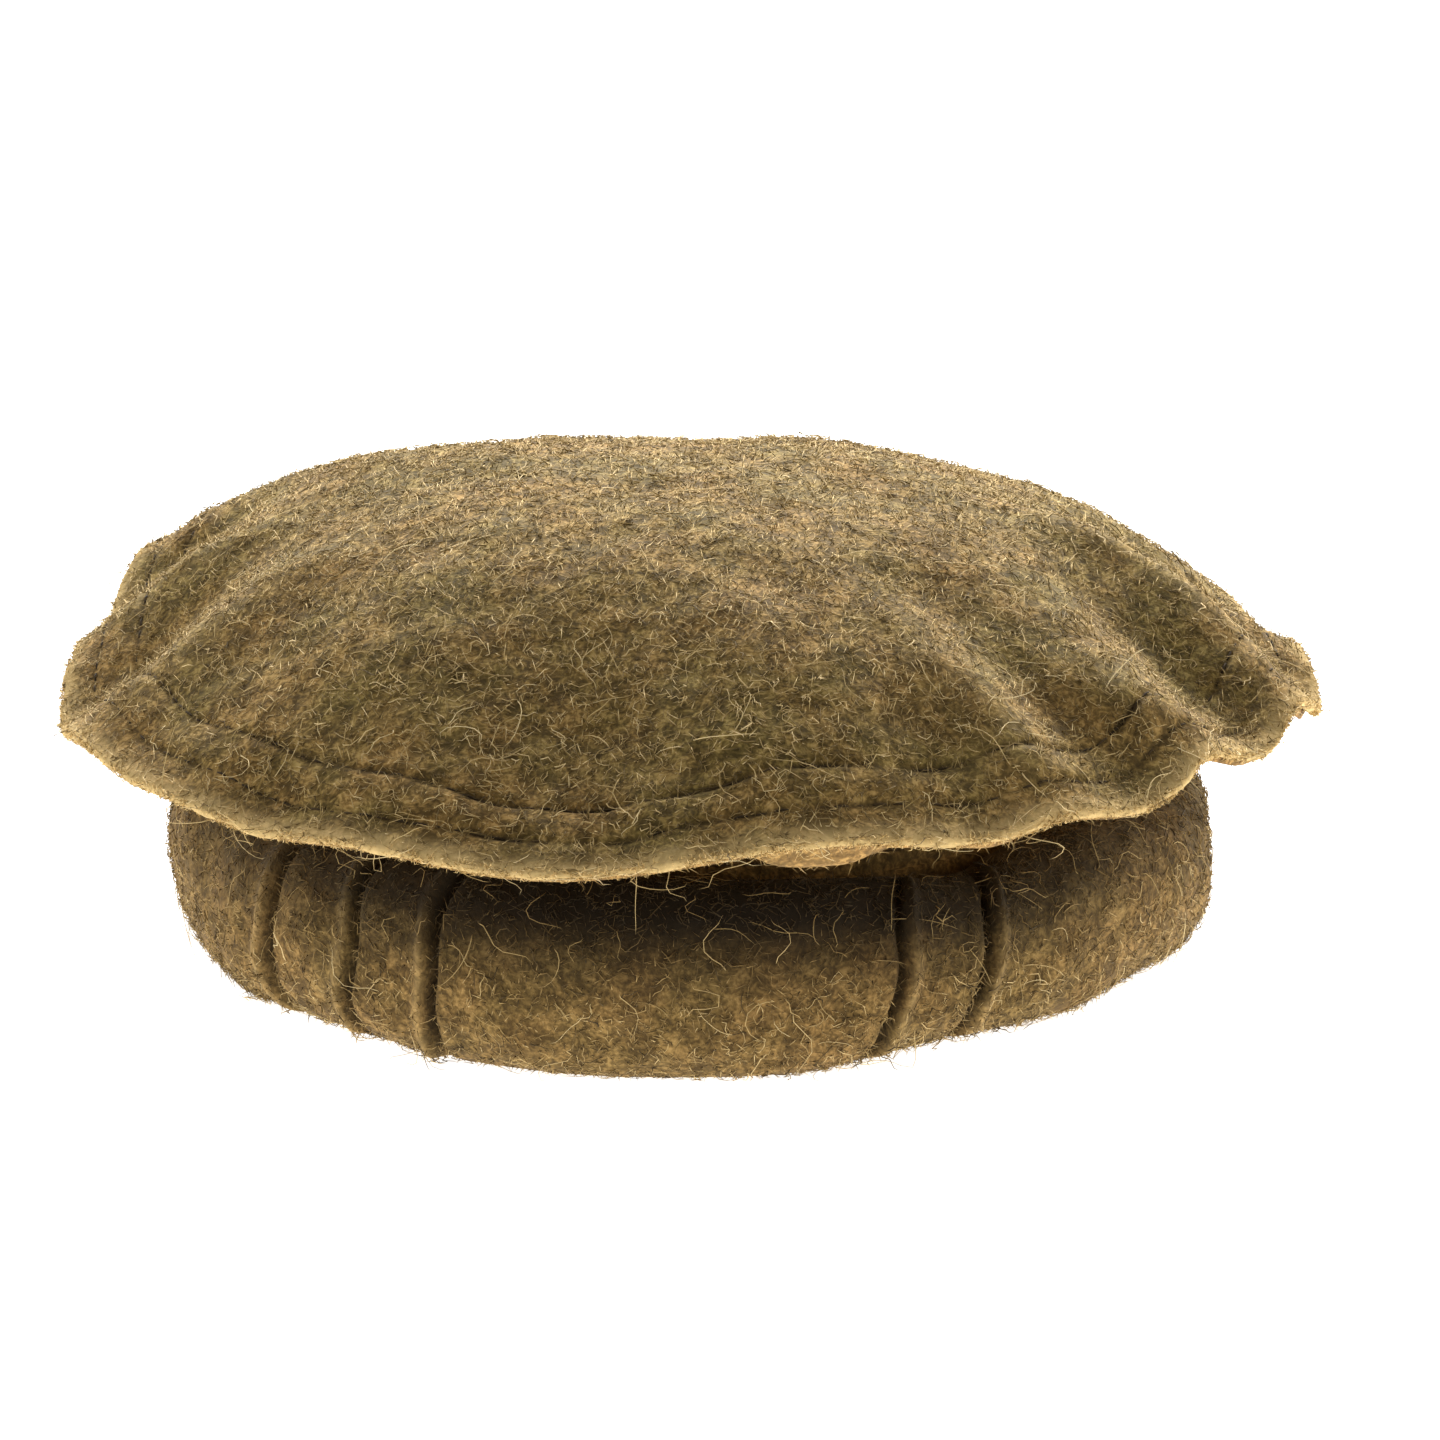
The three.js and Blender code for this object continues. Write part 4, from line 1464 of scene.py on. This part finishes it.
# The darkest tone is for fibres in the painted shade under the crown.
BAND_FIBRES = FibreFinish(
    "band_wool", "band fuzz",
    tones((34, 27, 16), (114, 92, 53), (172, 144, 92), (216, 190, 136)))
UNDERSIDE_FIBRES = FibreFinish(
    "underside_wool", "underside fuzz",
    tones((50, 38, 21), (140, 112, 64), (188, 154, 97), (216, 186, 130)))
LIP_FIBRES = FibreFinish(
    "crown_wool", "lip fuzz",
    tones((140, 112, 64), (188, 156, 96), (216, 184, 122), (234, 208, 152)))
PALE_HAIRS = FibreFinish(
    "crown_wool", "pale hairs", tones((146, 122, 76), (188, 162, 110), (220, 199, 150)))
THREAD = FibreFinish("crown_wool", "thread", tones((46, 35, 18), (68, 53, 29)))


def hat_axis() -> np.ndarray:
    """The hat's own axis in the part's frame, from the middle of its stated head hollow."""
    openings = frame["record"]["physics"]["openings"]
    low, high = next(o["box_m"] for o in openings if o["name"] == "head_hollow")
    return np.array([(low[0] + high[0]) / 2, (low[1] + high[1]) / 2, 0.0])


def main() -> None:
    """Builds the studio and then the hat, piece by piece."""
    logging.basicConfig(level=logging.INFO, format="%(message)s")
    Studio().build()
    form, axis = HatForm(), hat_axis()
    crown = CrownTop(form, axis)
    underside = CrownUnderside(form, axis)
    band = RolledBand(form, axis)
    crown.build(CROWN_WOOL, CROWN_WOOL.material())
    underside.build(UNDERSIDE_WOOL, UNDERSIDE_WOOL.material())
    band.build(BAND_WOOL, BAND_WOOL.material())
    RimStitching(crown).build(THREAD)
    down = dict(length=(1.5 * MM, 4.5 * MM), width=0.16 * MM, curl=0, stations=2)
    fringe = dict(length=(0.8 * MM, 2.8 * MM), width=0.13 * MM, curl=50, stations=3)
    curls = dict(length=(4 * MM, 11 * MM), width=0.16 * MM, curl=95, stations=5)
    hairs = dict(length=(7 * MM, 24 * MM), width=0.13 * MM, curl=80, stations=8)
    for name, count, lift, seed, kind, roots, finish in (
            ("crown_down", 36000, (4, 58), 51, down, crown.roots, CROWN_FIBRES),
            ("band_down", 24000, (4, 52), 52, down, band.roots, BAND_FIBRES),
            ("underside_down", 9000, (5, 45), 53, down, underside.roots, UNDERSIDE_FIBRES),
            ("rim_down", 8500, (15, 75), 54, fringe, crown.rim_roots, LIP_FIBRES),
            ("crown_curls", 8500, (3, 24), 55, curls, crown.roots, CROWN_FIBRES),
            ("band_curls", 5500, (3, 24), 56, curls, band.roots, BAND_FIBRES),
            ("crown_hairs", 800, (4, 22), 61, hairs, crown.roots, PALE_HAIRS),
            ("band_hairs", 450, (4, 22), 62, hairs, band.roots, PALE_HAIRS),
            ("rim_hairs", 110, (5, 40), 63, hairs, crown.rim_roots, PALE_HAIRS)):
        Fuzz(name, count, lift=lift, seed=seed, **kind).grow(roots, finish)


if __name__ == "__main__":
    main()
